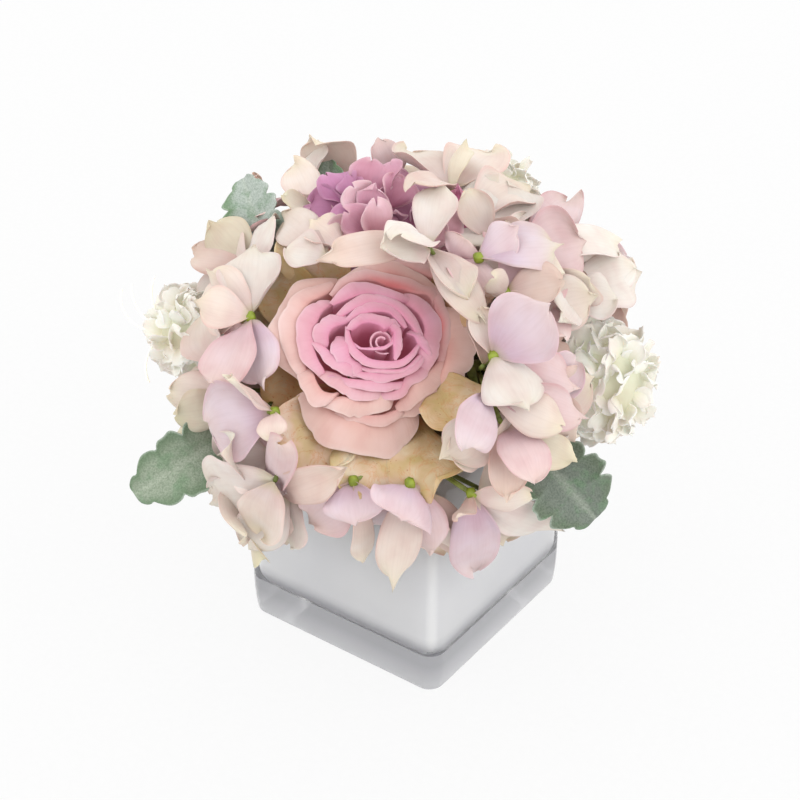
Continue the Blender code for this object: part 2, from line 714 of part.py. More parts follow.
ROSE_CENTRE = in_front(ROSE_PLACE)
ROSE_AXIS = unit(TO_VIEWER + VIEW_RIGHT * math.tan(math.radians(ROSE_LEAN[0]))
                 + VIEW_UP * math.tan(math.radians(ROSE_LEAN[1])))
ROSE_X = unit(VIEW_RIGHT - ROSE_AXIS * (VIEW_RIGHT @ ROSE_AXIS))
ROSE_Y = np.cross(ROSE_AXIS, ROSE_X)
ROSE_BASE = ROSE_CENTRE - ROSE_AXIS * ROSE_DEPTH


def rose_point(x, y, z):
    """Points of the rose's own frame, z along its axis from the base, in the arrangement."""
    return ROSE_BASE + x[..., None] * ROSE_X + y[..., None] * ROSE_Y + z[..., None] * ROSE_AXIS


def rose_petal(turn, rim, height, spread, shift, s, v):
    """A cupped petal: its radius grows as s^0.55 and its rim rolls outwards and falls at its ends.

    One side lies further out than the other, so that each petal of a ring laps over the next.
    """
    s_grid, v_grid = np.meshgrid(s, v, indexing="ij")
    lip = np.clip((s_grid - 0.78) / 0.22, 0, 1)
    reach = rim * (1 + ROSE_SKEW * v_grid) - ROSE_FOOT_RADIUS
    radius = ROSE_FOOT_RADIUS + reach * s_grid ** ROSE_CUP_POWER + lip ** 2 * rim * 0.05
    rise = height * s_grid * (1 - 0.20 * v_grid ** 2 * s_grid) - lip ** 2 * height * 0.05
    angle = math.radians(turn) + math.radians(spread) * v_grid * (0.3 + 0.7 * s_grid ** 0.7)
    return rose_point(radius * np.cos(angle) + shift[0] * s_grid,
                      radius * np.sin(angle) + shift[1] * s_grid, rise)


def rose_bud(columns, shares):
    """The wound bud: a coil that widens along itself and, at each share of its height, upwards."""
    share = np.linspace(0, 1, columns)
    coil = np.radians(BUD_COIL[0] + BUD_COIL[1] * share)
    radius = BUD_RADII[0] + (BUD_RADII[1] - BUD_RADII[0]) * share
    rows = [rose_point(radius * (0.5 + 0.5 * s) * np.cos(coil), radius * (0.5 + 0.5 * s) * np.sin(coil),
                       np.full(columns, BUD_FOOT + BUD_HEIGHT * s)) for s in shares]
    return np.stack(rows)


def rose_solids():
    """The bloom's core, its wound bud and its rings of petals, each outside the one before it."""
    heights, radii = np.array(ROSE_CORE).T
    solids = [tube(ROSE_BASE + heights[:, None] * ROSE_AXIS, radii, 10)]
    solids.append(thicken(rose_bud(BUD_POINTS, BUD_ROWS), BLADE))
    v = np.array(ROSE_ACROSS)
    for turns, rim, height, spread, shift in ROSE_RINGS:
        s = np.array(ROSE_UP_CLOSED if rim < ROSE_OPEN_RIM else ROSE_UP_OPEN)
        for turn in turns:
            solids.append(thicken(rose_petal(turn, rim, height, spread, shift, s, v), BLADE))
    return solids


def rose_bloom(surface):
    """The bloom as one body."""
    solids = rose_solids()
    for solid in solids:
        PLACED.add("rose_bloom", solid)
    join("rose_bloom", solids, surface)


def rose_stem_path():
    """The rose's stem down its axis, through the hip, and its radii."""
    top = ROSE_BASE - ROSE_AXIS * (1.0 + GAP)
    entry = ROSE_BASE - ROSE_AXIS * ROSE_ENTRY_DROP
    foot = entry - ROSE_AXIS * ((entry[2] - STEM_FOOT) / ROSE_AXIS[2])
    path = [top - ROSE_AXIS * drop for drop in HIP_DROPS] + [entry, foot]
    return np.array(path), [*HIP_RADII, STEM_RADIUS, STEM_RADIUS]


def sepal_blades(top):
    """The sepals that stand out level under the bloom."""
    blades = []
    length, width = SEPAL_SIZE
    for number in range(SEPAL_COUNT):
        angle = math.radians(360 / SEPAL_COUNT * number + SEPAL_START)
        away = ROSE_X * math.cos(angle) + ROSE_Y * math.sin(angle)
        root = top - ROSE_AXIS * SEPAL_DROP + away * SEPAL_ROOT
        blades.append({"root": root, "tip": root + away * length - ROSE_AXIS, "width": width,
                       "outward": -ROSE_AXIS, "arch": -0.1, "plain": True})
    return blades


def rose_stem(surface):
    """The rose's stem with its hip and its sepals, under the bloom."""
    node = "rose_stem"
    path, radii = rose_stem_path()
    solids = [tube(path, radii, 8)]
    STEMS.append((path[-2], path[-1], STEM_RADIUS))
    for blade in sepal_blades(path[0]):
        settled = settle(node, blade, -ROSE_AXIS)
        if settled is not None:
            solids.append(petal_solid(settled))
    PLACED.add(node, solids[0])
    join(node, solids, surface)


# Hydrangea

def stalk_path(node, hub, eye):
    """A floret's stalk from the hub, bowed aside where the straight one would cross another node."""
    along = unit(eye - hub)
    across = unit(np.cross(along, [0.3, 0.2, 1.0]))
    other = np.cross(along, across)
    paths = [[hub, eye]]
    for bow in STALK_BOWS:
        for share in STALK_SHARES:
            for turn in STALK_TURNS:
                aside = (across * math.cos(turn) + other * math.sin(turn)) * bow
                paths.append([hub, hub + (eye - hub) * share + aside, eye])
    for path in paths:
        if PLACED.crossings(node, tree_of(tube(path, PEDICEL_RADIUS + 2 * GAP, 3)))[0] == 0:
            break
    return np.array(path)


def floret_solids(node, eye, hub, petals):
    """A floret: its stalk from the hub, its eye and the petals that could be placed clear."""
    solids = [tube(stalk_path(node, hub, eye), PEDICEL_RADIUS, 3), bead(eye, EYE_RADIUS)]
    for solid in solids:
        PLACED.add(node, solid)
    for number, (petal, slide) in enumerate(petals):
        petal["root"] = eye + slide * ROOT_STEPS[number % len(ROOT_STEPS)]
        settled = settle(node, petal, slide)
        if settled is not None:
            solids.append(petal_solid(settled))
    return solids


def front_petals(eye, tips):
    """The petals of a floret that the front view shows, each towards its tip."""
    petals = []
    for across, up, width, lift, roll in tips:
        tip = seen_at(across, up, lift)
        nearness = np.linalg.norm(tip - EYE) / VIEW_DISTANCE
        outward = unit(dome_normal(0.5 * (eye + tip)) + PETAL_FACING * TO_VIEWER)
        petal = {"root": eye, "tip": tip, "width": width * nearness * PETAL_WIDENING, "outward": outward,
                 "roll": roll, "plain": width < PLAIN_WIDTH}
        petals.append((petal, unit(EYE - tip)))
    return petals


def rule_florets(taken):
    """Floret eyes over the unseen sides of the dome by the golden angle, kept apart from those taken."""
    chosen = []
    for number in range(RULE_PLACES):
        z = 1.0 - RULE_DEPTH * (number + 0.5) / RULE_PLACES
        turn = number * GOLDEN_ANGLE + RULE_TURN
        flat = math.sqrt(1 - z * z)
        direction = np.array([flat * math.cos(turn), flat * math.sin(turn), z])
        point = DOME_CENTRE + direction * DOME_REACH * RULE_LIFT
        if dome_normal(point) @ TO_VIEWER > FRONT_CONE or point[2] < RULE_LOWEST:
            continue
        if all(np.linalg.norm(point - other) > distance for other, distance in taken):
            chosen.append(point)
            taken.append((point, RULE_SPACING))
    return chosen


def rule_petals(eye, number):
    """Four petals round an eye, turned by the floret's number."""
    normal = dome_normal(eye)
    across = unit(np.cross(normal, [0.2, 0.1, 1.0]))
    other = np.cross(normal, across)
    petals = []
    length, width = RULE_PETAL
    for quarter in range(4):
        angle = math.radians(90 * quarter + 37 * number)
        away = across * math.cos(angle) + other * math.sin(angle)
        tip = eye + away * length + normal * RULE_TIP_RISE
        blade = {"root": eye, "tip": tip, "width": width, "outward": normal, "plain": True}
        petals.append((blade, normal))
    return petals


def hydrangea_heads(surface, taken):
    """Every head: a hub on its stem, with its florets, those by rule going to the nearest hub."""
    hubs = {name: np.array(head[0], dtype=float) for name, head in HYDRANGEAS.items()}
    solids = {}
    for name, (_, entry, foot, _) in HYDRANGEAS.items():
        knob = ball(hubs[name], HUB_RADIUS, 4, 6)
        PLACED.add(name, knob)
        solids[name] = [knob, stem_solid(name, hubs[name], entry, foot, STEM_RADIUS)]
    for name, head in HYDRANGEAS.items():
        for eye_seen, tips in head[3]:
            eye = seen_at(*eye_seen)
            taken.append((eye, FRONT_SPACING))
            solids[name] += floret_solids(name, eye, hubs[name], front_petals(eye, tips))
    for number, eye in enumerate(rule_florets(taken)):
        name = min(hubs, key=lambda key: np.linalg.norm(hubs[key] - eye))
        solids[name] += floret_solids(name, eye, hubs[name], rule_petals(eye, number))
    for name, parts in solids.items():
        join(name, parts, surface)


# Mauve head and white heads

def head_petal(number, count, centre, core_radii, axis, range_down):
    """Root, direction, core normal and crown of a petal that lies on a spiral round a head.

    The petal leans from the core's normal away from the crown, and more so near the crown.
    """
    crown = unit(np.asarray(axis, dtype=float))
    across = unit(np.cross(crown, [1.0, 0.0, 0.0]))
    other = np.cross(crown, across)
    z = 1.0 - range_down * (number + 0.5) / count
    turn = number * GOLDEN_ANGLE + 1.0
    flat = math.sqrt(1 - z * z)
    outwards = across * math.cos(turn) + other * math.sin(turn)
    normal = crown * z + outwards * flat
    spread = unit(normal * 0.8 - crown * 0.35 * z + outwards * 0.5)
    return centre + normal * (core_radii - ROOT_SINK), spread, normal, crown


def petal_head(node, centre, core_radii, axis, rule, entry, foot, surface):
    """A round head: a core on its stem, with petals over it by the golden angle."""
    count, range_down, reach, width, cup = rule
    core_radii = np.array(core_radii)
    core = ball(centre, core_radii, 5, 8)
    PLACED.add(node, core)
    solids = [core, stem_solid(node, centre, entry, foot, HEAD_STEM_RADIUS)]
    for number in range(count):
        root, spread, normal, crown = head_petal(number, count, centre, core_radii, axis, range_down)
        blade = {"root": root, "tip": root + spread * (reach + ROOT_SINK), "width": width,
                 "outward": crown + normal * 0.3, "arch": -0.08, "cup": cup, "plain": cup == 0}
        settled = settle(node, blade, normal)
        if settled is not None:
            solids.append(petal_solid(settled))
    join(node, solids, surface)


def white_heads():
    """The white heads' centres and axes, which lean from the dome's middle towards the viewer."""
    placed = {}
    for name, head in WHITE_HEADS.items():
        centre = in_front(head[0])
        placed[name] = centre, unit(centre - DOME_CENTRE) + WHITE_HEAD_FACING * TO_VIEWER
    return placed


# Leaves

def leaf_blades():
    """Every leaf's blade, lobed and waved, with its entry into the foam and its foot."""
    leaves = {}
    for name, (root, tip, *shape) in FRONT_LEAVES.items():
        leaves[name] = (in_front(root), in_front(tip), *shape)
    for name, (root, tip, *shape) in BACK_LEAVES.items():
        leaves[name] = (np.array(root, dtype=float), np.array(tip, dtype=float), *shape)
    blades = {}
    for name, (root, tip, width, narrowing, entry, foot) in leaves.items():
        lean = 0.4 * TO_VIEWER if name in FRONT_LEAVES else 0.0
        outward = unit(dome_normal(0.5 * (root + tip)) + lean)
        blades[name] = {"root": root, "tip": tip, "width": width, "outward": outward, "lobes": LEAF_LOBES,
                        "arch": 0.10, "cup": 0.16, "fullness": 0.5, "narrowing": narrowing,
                        "ruffle": 0.05}, entry, foot
    return blades


def leaf(node, blade, entry, foot, surface):
    """A dusty miller leaf on its stalk, which starts a little way inside the blade."""
    settled = settle(node, blade, blade["outward"])
    top = settled["root"] + unit(settled["tip"] - settled["root"]) * PETIOLE_SINK
    stalk = stem_solid(node, top, entry, foot, PETIOLE_RADIUS, 4)
    join(node, [petal_solid(settled), stalk], surface)


def main():
    """Build the arrangement from the vase outwards."""
    clear_scene()
    vase_layers(material("clear_glass", CLEAR_GLASS, 0.03, 0.9), material("white_glass", WHITE_GLASS, 0.15))
    rose_bloom(material("rose_petal", ROSE_PINK, 0.6))
    rose_stem(material("stem", STEM_GREEN, 0.6))
    white = material("white_petal", PETAL_WHITE, 0.6)
    taken = [(ROSE_CENTRE, ROOM_ROUND_ROSE), (MAUVE_CENTRE, ROOM_ROUND_MAUVE)]
    for name, (centre, axis) in white_heads().items():
        petal_head(name, centre, WHITE_HEADS[name][1], axis, *WHITE_HEADS[name][2:], white)
        taken.append((centre, ROOM_ROUND_WHITE))
    mauve = material("mauve_petal", MAUVE_PINK, 0.6)
    petal_head("mauve_head", MAUVE_CENTRE, MAUVE_CORE, MAUVE_AXIS, MAUVE_RULE, *MAUVE_ENTRY, mauve)
    felt = material("felted_leaf", FELT_GREEN, 0.85)
    for name, (blade, entry, foot) in leaf_blades().items():
        leaf(name, blade, entry, foot, felt)
    hydrangea_heads(material("hydrangea_petal", CREAM_PINK, 0.6), taken)
    foam_block(material("foam", FOAM_BROWN, 0.95))


main()
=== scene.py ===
import math

import bpy
import numpy as np
from mathutils import Matrix, Vector
from mathutils.bvhtree import BVHTree


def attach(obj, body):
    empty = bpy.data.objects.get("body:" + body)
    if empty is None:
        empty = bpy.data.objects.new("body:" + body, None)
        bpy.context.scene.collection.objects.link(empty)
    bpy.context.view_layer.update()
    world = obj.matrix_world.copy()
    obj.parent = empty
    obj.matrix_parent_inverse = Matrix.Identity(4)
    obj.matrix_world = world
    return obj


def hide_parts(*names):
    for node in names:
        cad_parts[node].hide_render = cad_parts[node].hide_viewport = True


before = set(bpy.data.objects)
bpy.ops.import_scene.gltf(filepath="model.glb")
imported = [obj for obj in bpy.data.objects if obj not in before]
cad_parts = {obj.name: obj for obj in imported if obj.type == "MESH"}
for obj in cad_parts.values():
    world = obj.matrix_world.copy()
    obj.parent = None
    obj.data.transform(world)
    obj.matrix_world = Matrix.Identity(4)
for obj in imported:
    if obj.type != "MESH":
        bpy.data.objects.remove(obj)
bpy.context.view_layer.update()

# Scale and clearances
METRES_PER_MM = 0.001
GAP = 0.3
BLADE = 0.7

# Vase
FOOT_LEVEL = -3.0
RIM_LEVEL = 100.0
VASE_WIDTH = 97.6
VASE_CORNER = 7.4
LEAST_CORNER = 0.5
GLASS_WALL = 4.7
GLASS_BASE = 14.6
FOOT_TAPER = 1.5
FOOT_RISE = 19.0
RIM_ROUND = 2.0
LINING_WALL = 1.2
LINING_FLOOR_ROUND = 8.0
CORNER_STEPS = 3
BEND_STEPS = 4

# Stems
STEM_FOOT = 60.0
STEM_RISE = 8.0

# The side that the flowers face, turned from -Y towards +X and looked down on
VIEW_TURN = math.radians(36.0)
VIEW_TILT = math.radians(33.56)
VIEW_DISTANCE = 815.7
VIEW_ACROSS = -3.0
VIEW_HEIGHT = 97.0

# The turn from one petal or floret to the next where they follow a spiral
GOLDEN_ANGLE = math.pi * (3 - math.sqrt(5))

# Dome of petal tips
DOME_CENTRE = np.array([0.0, 0.0, 122.0])
DOME_REACH = np.array([97.0, 97.0, 71.0])

# Rose
ROSE_PLACE = (-6.9, 24.9, 74.0)
ROSE_LEAN = (9.0, 20.0)
ROSE_DEPTH = 42.0
ROSE_CORE = ((-1.0, 9.0), (4.0, 13.0), (9.0, 15.5), (16.0, 13.0), (20.0, 6.0))
STEM_RADIUS = 2.5
PETIOLE_RADIUS = 1.3
PETIOLE_SINK = 3.0

# Petal rings of the rose: turns, rim radius, rim height, half spread, shift of the ring's centre
ROSE_RINGS = (
    ((10, 130, 250), 8.0, 41.0, 76.0, (-0.5, 0.0)),
    ((50, 140, 230, 320), 14.0, 42.0, 58.0, (-1.0, 0.0)),
    ((95, 185, 275, 5), 20.5, 40.5, 56.0, (-2.5, -1.0)),
    ((20, 92, 164, 236, 308), 27.5, 37.0, 46.0, (-3.5, -1.0)),
    ((65, 137, 209, 281, 353), 38.5, 31.0, 44.0, (-3.0, -4.0)),
    ((132, 163, 204, 235, 270, 316), 48.0, 22.0, 24.0, (-2.0, -3.0)),
)
ROSE_ACROSS = (-1.0, -0.33, 0.33, 1.0)
ROSE_UP_CLOSED = (0.1, 0.5, 1.0)
ROSE_UP_OPEN = (0.03, 0.3, 0.74, 1.0)
ROSE_FOOT_RADIUS = 1.5
ROSE_CUP_POWER = 0.55
ROSE_SKEW = 0.09
ROSE_OPEN_RIM = 30.0

# Wound bud: first direction and sweep in degrees, radius at both ends, foot and height, points, rows
BUD_COIL = (40.0, 620.0)
BUD_RADII = (1.2, 4.8)
BUD_FOOT = 5.0
BUD_HEIGHT = 34.0
BUD_POINTS = 8
BUD_ROWS = (0.0, 0.6, 1.0)

# Rose stem: distances down the axis and radii of the hip, and its sepals
HIP_DROPS = (0.0, 4.0, 8.0)
HIP_RADII = (5.0, 5.4, 3.2)
ROSE_ENTRY_DROP = 14.0
SEPAL_COUNT = 5
SEPAL_START = 20.0
SEPAL_DROP = 2.5
SEPAL_ROOT = 3.5
SEPAL_SIZE = (13.0, 5.5)


def unit(vector):
    """The vector at length one."""
    return vector / np.linalg.norm(vector)


TO_VIEWER = np.array([
    math.sin(VIEW_TURN) * math.cos(VIEW_TILT),
    -math.cos(VIEW_TURN) * math.cos(VIEW_TILT),
    math.sin(VIEW_TILT),
])
VIEW_RIGHT = np.array([math.cos(VIEW_TURN), math.sin(VIEW_TURN), 0.0])
VIEW_UP = np.cross(TO_VIEWER, VIEW_RIGHT)
VIEW_CENTRE = VIEW_RIGHT * VIEW_ACROSS + np.array([0.0, 0.0, VIEW_HEIGHT])
EYE = VIEW_CENTRE + TO_VIEWER * VIEW_DISTANCE


# Heads of hydrangea: hub, entry into the foam, foot of the stem, and florets.
# A floret is (across, up, lift) of its eye and then its petals as (across, up, width, lift, roll)
# of their tips. Across and up are read from the front, lift is a share of the dome.
HYDRANGEAS = {
    "hydrangea_left": (
        (-20, -36, 113), (-20, -35, 108), (-14, -30),
        (
            ((-61, 34, 0.86), ((-59, 61, 19, 1.0, 0), (-77, 52, 12, 0.94, 0), (-82, 40, 12, 0.98, 0),
                               (-74, 6, 16, 1.0, 0), (-57, 7, 16, 0.96, 0))),
            ((-60, 54, 0.78), ((-76, 72, 14, 0.98, 0), (-84, 60, 13, 0.95, 0))),
            ((-51, -5, 0.88), ((-78, -10, 23, 1.0, 0), (-70, 10, 7, 1.03, 60), (-52, -16, 8, 0.96, 0))),
            ((-68, -1, 0.80), ((-94, 3, 12, 1.0, 0), (-95, -8, 15, 0.95, 0))),
            ((-50, -35, 0.88), ((-76, -40, 21, 1.02, 0), (-47, -16, 12, 0.98, 0),
                                (-25, -30, 11, 0.98, 0), (-52, -57, 15, 0.98, 0))),
            ((-59, -29, 0.80), ((-71, -19, 16, 0.94, 0), (-58, -66, 9, 1.0, 0), (-66, -56, 13, 0.95, 0))),
        ),
    ),
    "hydrangea_front": (
        (35, -42, 107), (33, -39, 103), (24, -30),
        (
            ((-19, -33, 0.88), ((-18, -50, 18, 1.0, 0), (-36, -50, 15, 0.96, 0), (-16, -65, 6, 1.0, 40))),
            ((4, -34, 0.88), ((1, -48, 22, 1.04, 0), (11, -60, 15, 1.0, 0), (-3, -73, 11, 1.02, 0),
                              (19, -61, 12, 0.96, 0))),
            ((29, -38, 0.90), ((30, -69, 15, 1.02, 0), (53, -39, 12, 1.0, 0), (63, -50, 15, 0.97, 0),
                               (24, -49, 6, 1.04, 50))),
        ),
    ),
    "hydrangea_right": (
        (34, 0, 124), (31, 0, 112), (22, 0),
        (
            ((36, 3, 0.88), ((28, -19, 14, 1.0, 0), (66, -10, 13, 1.02, 0), (73, -7, 11, 0.96, 0))),
            ((42, -11, 0.82), ((44, -39, 11, 1.0, 0), (55, -32, 16, 1.02, 0), (70, -24, 10, 0.98, 0),
                               (20, -21, 13, 0.92, 0))),
            ((38, 18, 0.90), ((34, 37, 10, 0.98, 0), (60, 38, 22, 1.0, 0), (52, -2, 20, 1.04, 0),
                              (72, 6, 13, 0.95, 0))),
            ((43, 44, 0.86), ((54, 58, 15, 0.96, 0), (66, 48, 14, 1.0, 0), (38, 50, 7, 1.0, 50),
                              (51, 36, 7, 1.0, -40))),
            ((67, 41, 0.80), ((96, 51, 17, 1.0, 0), (88, 42, 14, 0.96, 0), (77, 49, 15, 0.98, 0),
                              (66, 34, 11, 0.98, 0))),
        ),
    ),
    "hydrangea_top": (
        (14, 16, 146), (10, 10, 114), (8, 10),
        (
            ((49, 58, 0.82), ((74, 65, 22, 1.0, 0), (70, 83, 13, 0.96, 0), (90, 64, 13, 0.92, 0),
                              (52, 75, 12, 0.98, 0))),
            ((32, 58, 0.90), ((64, 62, 16, 1.03, 0), (47, 70, 11, 1.0, 0))),
            ((36, 66, 0.82), ((42, 88, 24, 1.0, 0), (27, 85, 9, 1.0, 30))),
            ((21, 85, 0.88), ((37, 103, 18, 1.0, 0), (3, 102, 17, 1.0, 0), (27, 104, 6, 1.0, 30),
                              (5, 87, 10, 1.0, 0))),
            ((-2, 88, 0.82), ((-8, 106, 12, 0.97, 0),)),
            ((11, 62, 0.84), ((16, 86, 11, 1.0, 0), (28, 44, 11, 0.97, 0), (33, 31, 10, 0.93, 0),
                              (0, 68, 14, 1.03, 0), (-30, 58, 11, 1.0, 0))),
        ),
    ),
    "hydrangea_back_left": (
        (-30, 22, 124), (-27, 18, 112), (-22, 16),
        (
            ((-34, 74, 0.80), ((-43, 96, 11, 1.0, 0), (-48, 82, 8, 1.0, 20))),
        ),
    ),
    "hydrangea_back_right": ((14, 38, 122), (12, 34, 110), (8, 28), ()),
}
PETAL_WIDENING = 1.3
PETAL_FACING = 0.3
PLAIN_WIDTH = 13.0
HUB_RADIUS = 4.5
EYE_RADIUS = 2.2
EYE_LOBES = 4
LOBE_SWELL = 0.16
ROOT_STEPS = (-0.9, 0.3, 1.3)
PEDICEL_RADIUS = 1.0
STALK_BOWS = (3.0, 6.0, 9.0, 13.0, 18.0, 24.0, 30.0)
STALK_SHARES = (0.5, 0.75, 0.3, 0.9)
STALK_TURNS = np.radians(np.arange(0, 360, 30))
RING_GUIDE = (0.31, 0.95, 0.07)

# Florets that carry the dome round the sides that the front view does not show
RULE_PLACES = 300
RULE_SPACING = 28.0
FRONT_SPACING = 25.0
RULE_LIFT = 0.86
RULE_PETAL = (24.0, 21.0)
RULE_TURN = 0.4
RULE_DEPTH = 1.25
RULE_LOWEST = 103.0
RULE_TIP_RISE = 3.5
FRONT_CONE = 0.12

# Mauve head
MAUVE_CENTRE = np.array([-15.0, 8.0, 165.0])
MAUVE_AXIS = (0.1, -0.25, 1.0)
MAUVE_CORE = (14.0, 14.0, 14.0)
MAUVE_RULE = (21, 1.3, 14.0, 16.5, 0.15)
MAUVE_ENTRY = ((-8, 0, 115), (-6, -2))
HEAD_STEM_RADIUS = 2.2
ROOT_SINK = 2.0

# White heads: centre, radii of the core, rule of the petals, entry, foot.
# A rule is the count of petals, how far down the head they go, their reach, width and cup.
WHITE_HEADS = {
    "white_head_left": ((-84, 28, 14), (11, 11, 12), (18, 1.55, 8.0, 12.5, 0), (-37, -24, 108), (-30, -22)),
    "white_head_right": ((84, 8, 20), (13, 13, 17), (20, 1.6, 9.5, 13.5, 0), (37, 20, 107), (30, 18)),
    "white_head_back": ((40, 84, -14), (10, 10, 11), (9, 1.2, 7.5, 12.5, 0), (-4, 36, 108), (-4, 32)),
}

# Dusty miller leaves seen from the front: root and tip as (across, up, towards the viewer), width,
# narrowing towards the tip, entry, foot
FRONT_LEAVES = {
    "leaf_upper_left": ((-50, 54, 20), (-64, 91, 6), 26.0, 0.8, (-39, -4, 105), (-38, -8)),
    "leaf_top": ((-26, 70, -6), (-29, 98, -8), 17.0, 1.2, (-12, 18, 110), (-10, 16)),
    "leaf_lower_left": ((-63, -9, 36), (-109, -39, 40), 27.0, 1.1, (-34, -39, 103), (-28, -36)),
    "leaf_lower_right": ((51, -16, 62), (80, -49, 58), 33.0, 1.2, (38, -20, 104), (32, -18)),
}

# Dusty miller leaves behind: root, tip, width, narrowing, entry, foot
BACK_LEAVES = {
    "leaf_back_left": ((-64, 32, 112), (-94, 50, 100), 26.0, 1.2, (-38, 30, 104), (-32, 28)),
    "leaf_back": ((-22, 66, 114), (-34, 98, 106), 28.0, 1.1, (-20, 40, 102), (-18, 36)),
    "leaf_back_right": ((28, 62, 110), (42, 93, 100), 26.0, 1.2, (32, 38, 103), (30, 34)),
}
WHITE_HEAD_FACING = 0.8
LEAF_LOBES = 4
ROOM_ROUND_ROSE = 50.0
ROOM_ROUND_MAUVE = 34.0
ROOM_ROUND_WHITE = 38.0

# Bends and sizes that are tried for a petal until it is clear of the other nodes
PETAL_SHIFTS = (0.0, 2.5, -2.5, 5.0, -5.0, 7.5, -7.5, 10.0, -10.0, 13.0, -13.0, 17.0, -17.0)
PETAL_SHRINKS = (1.0, 0.85, 0.7)


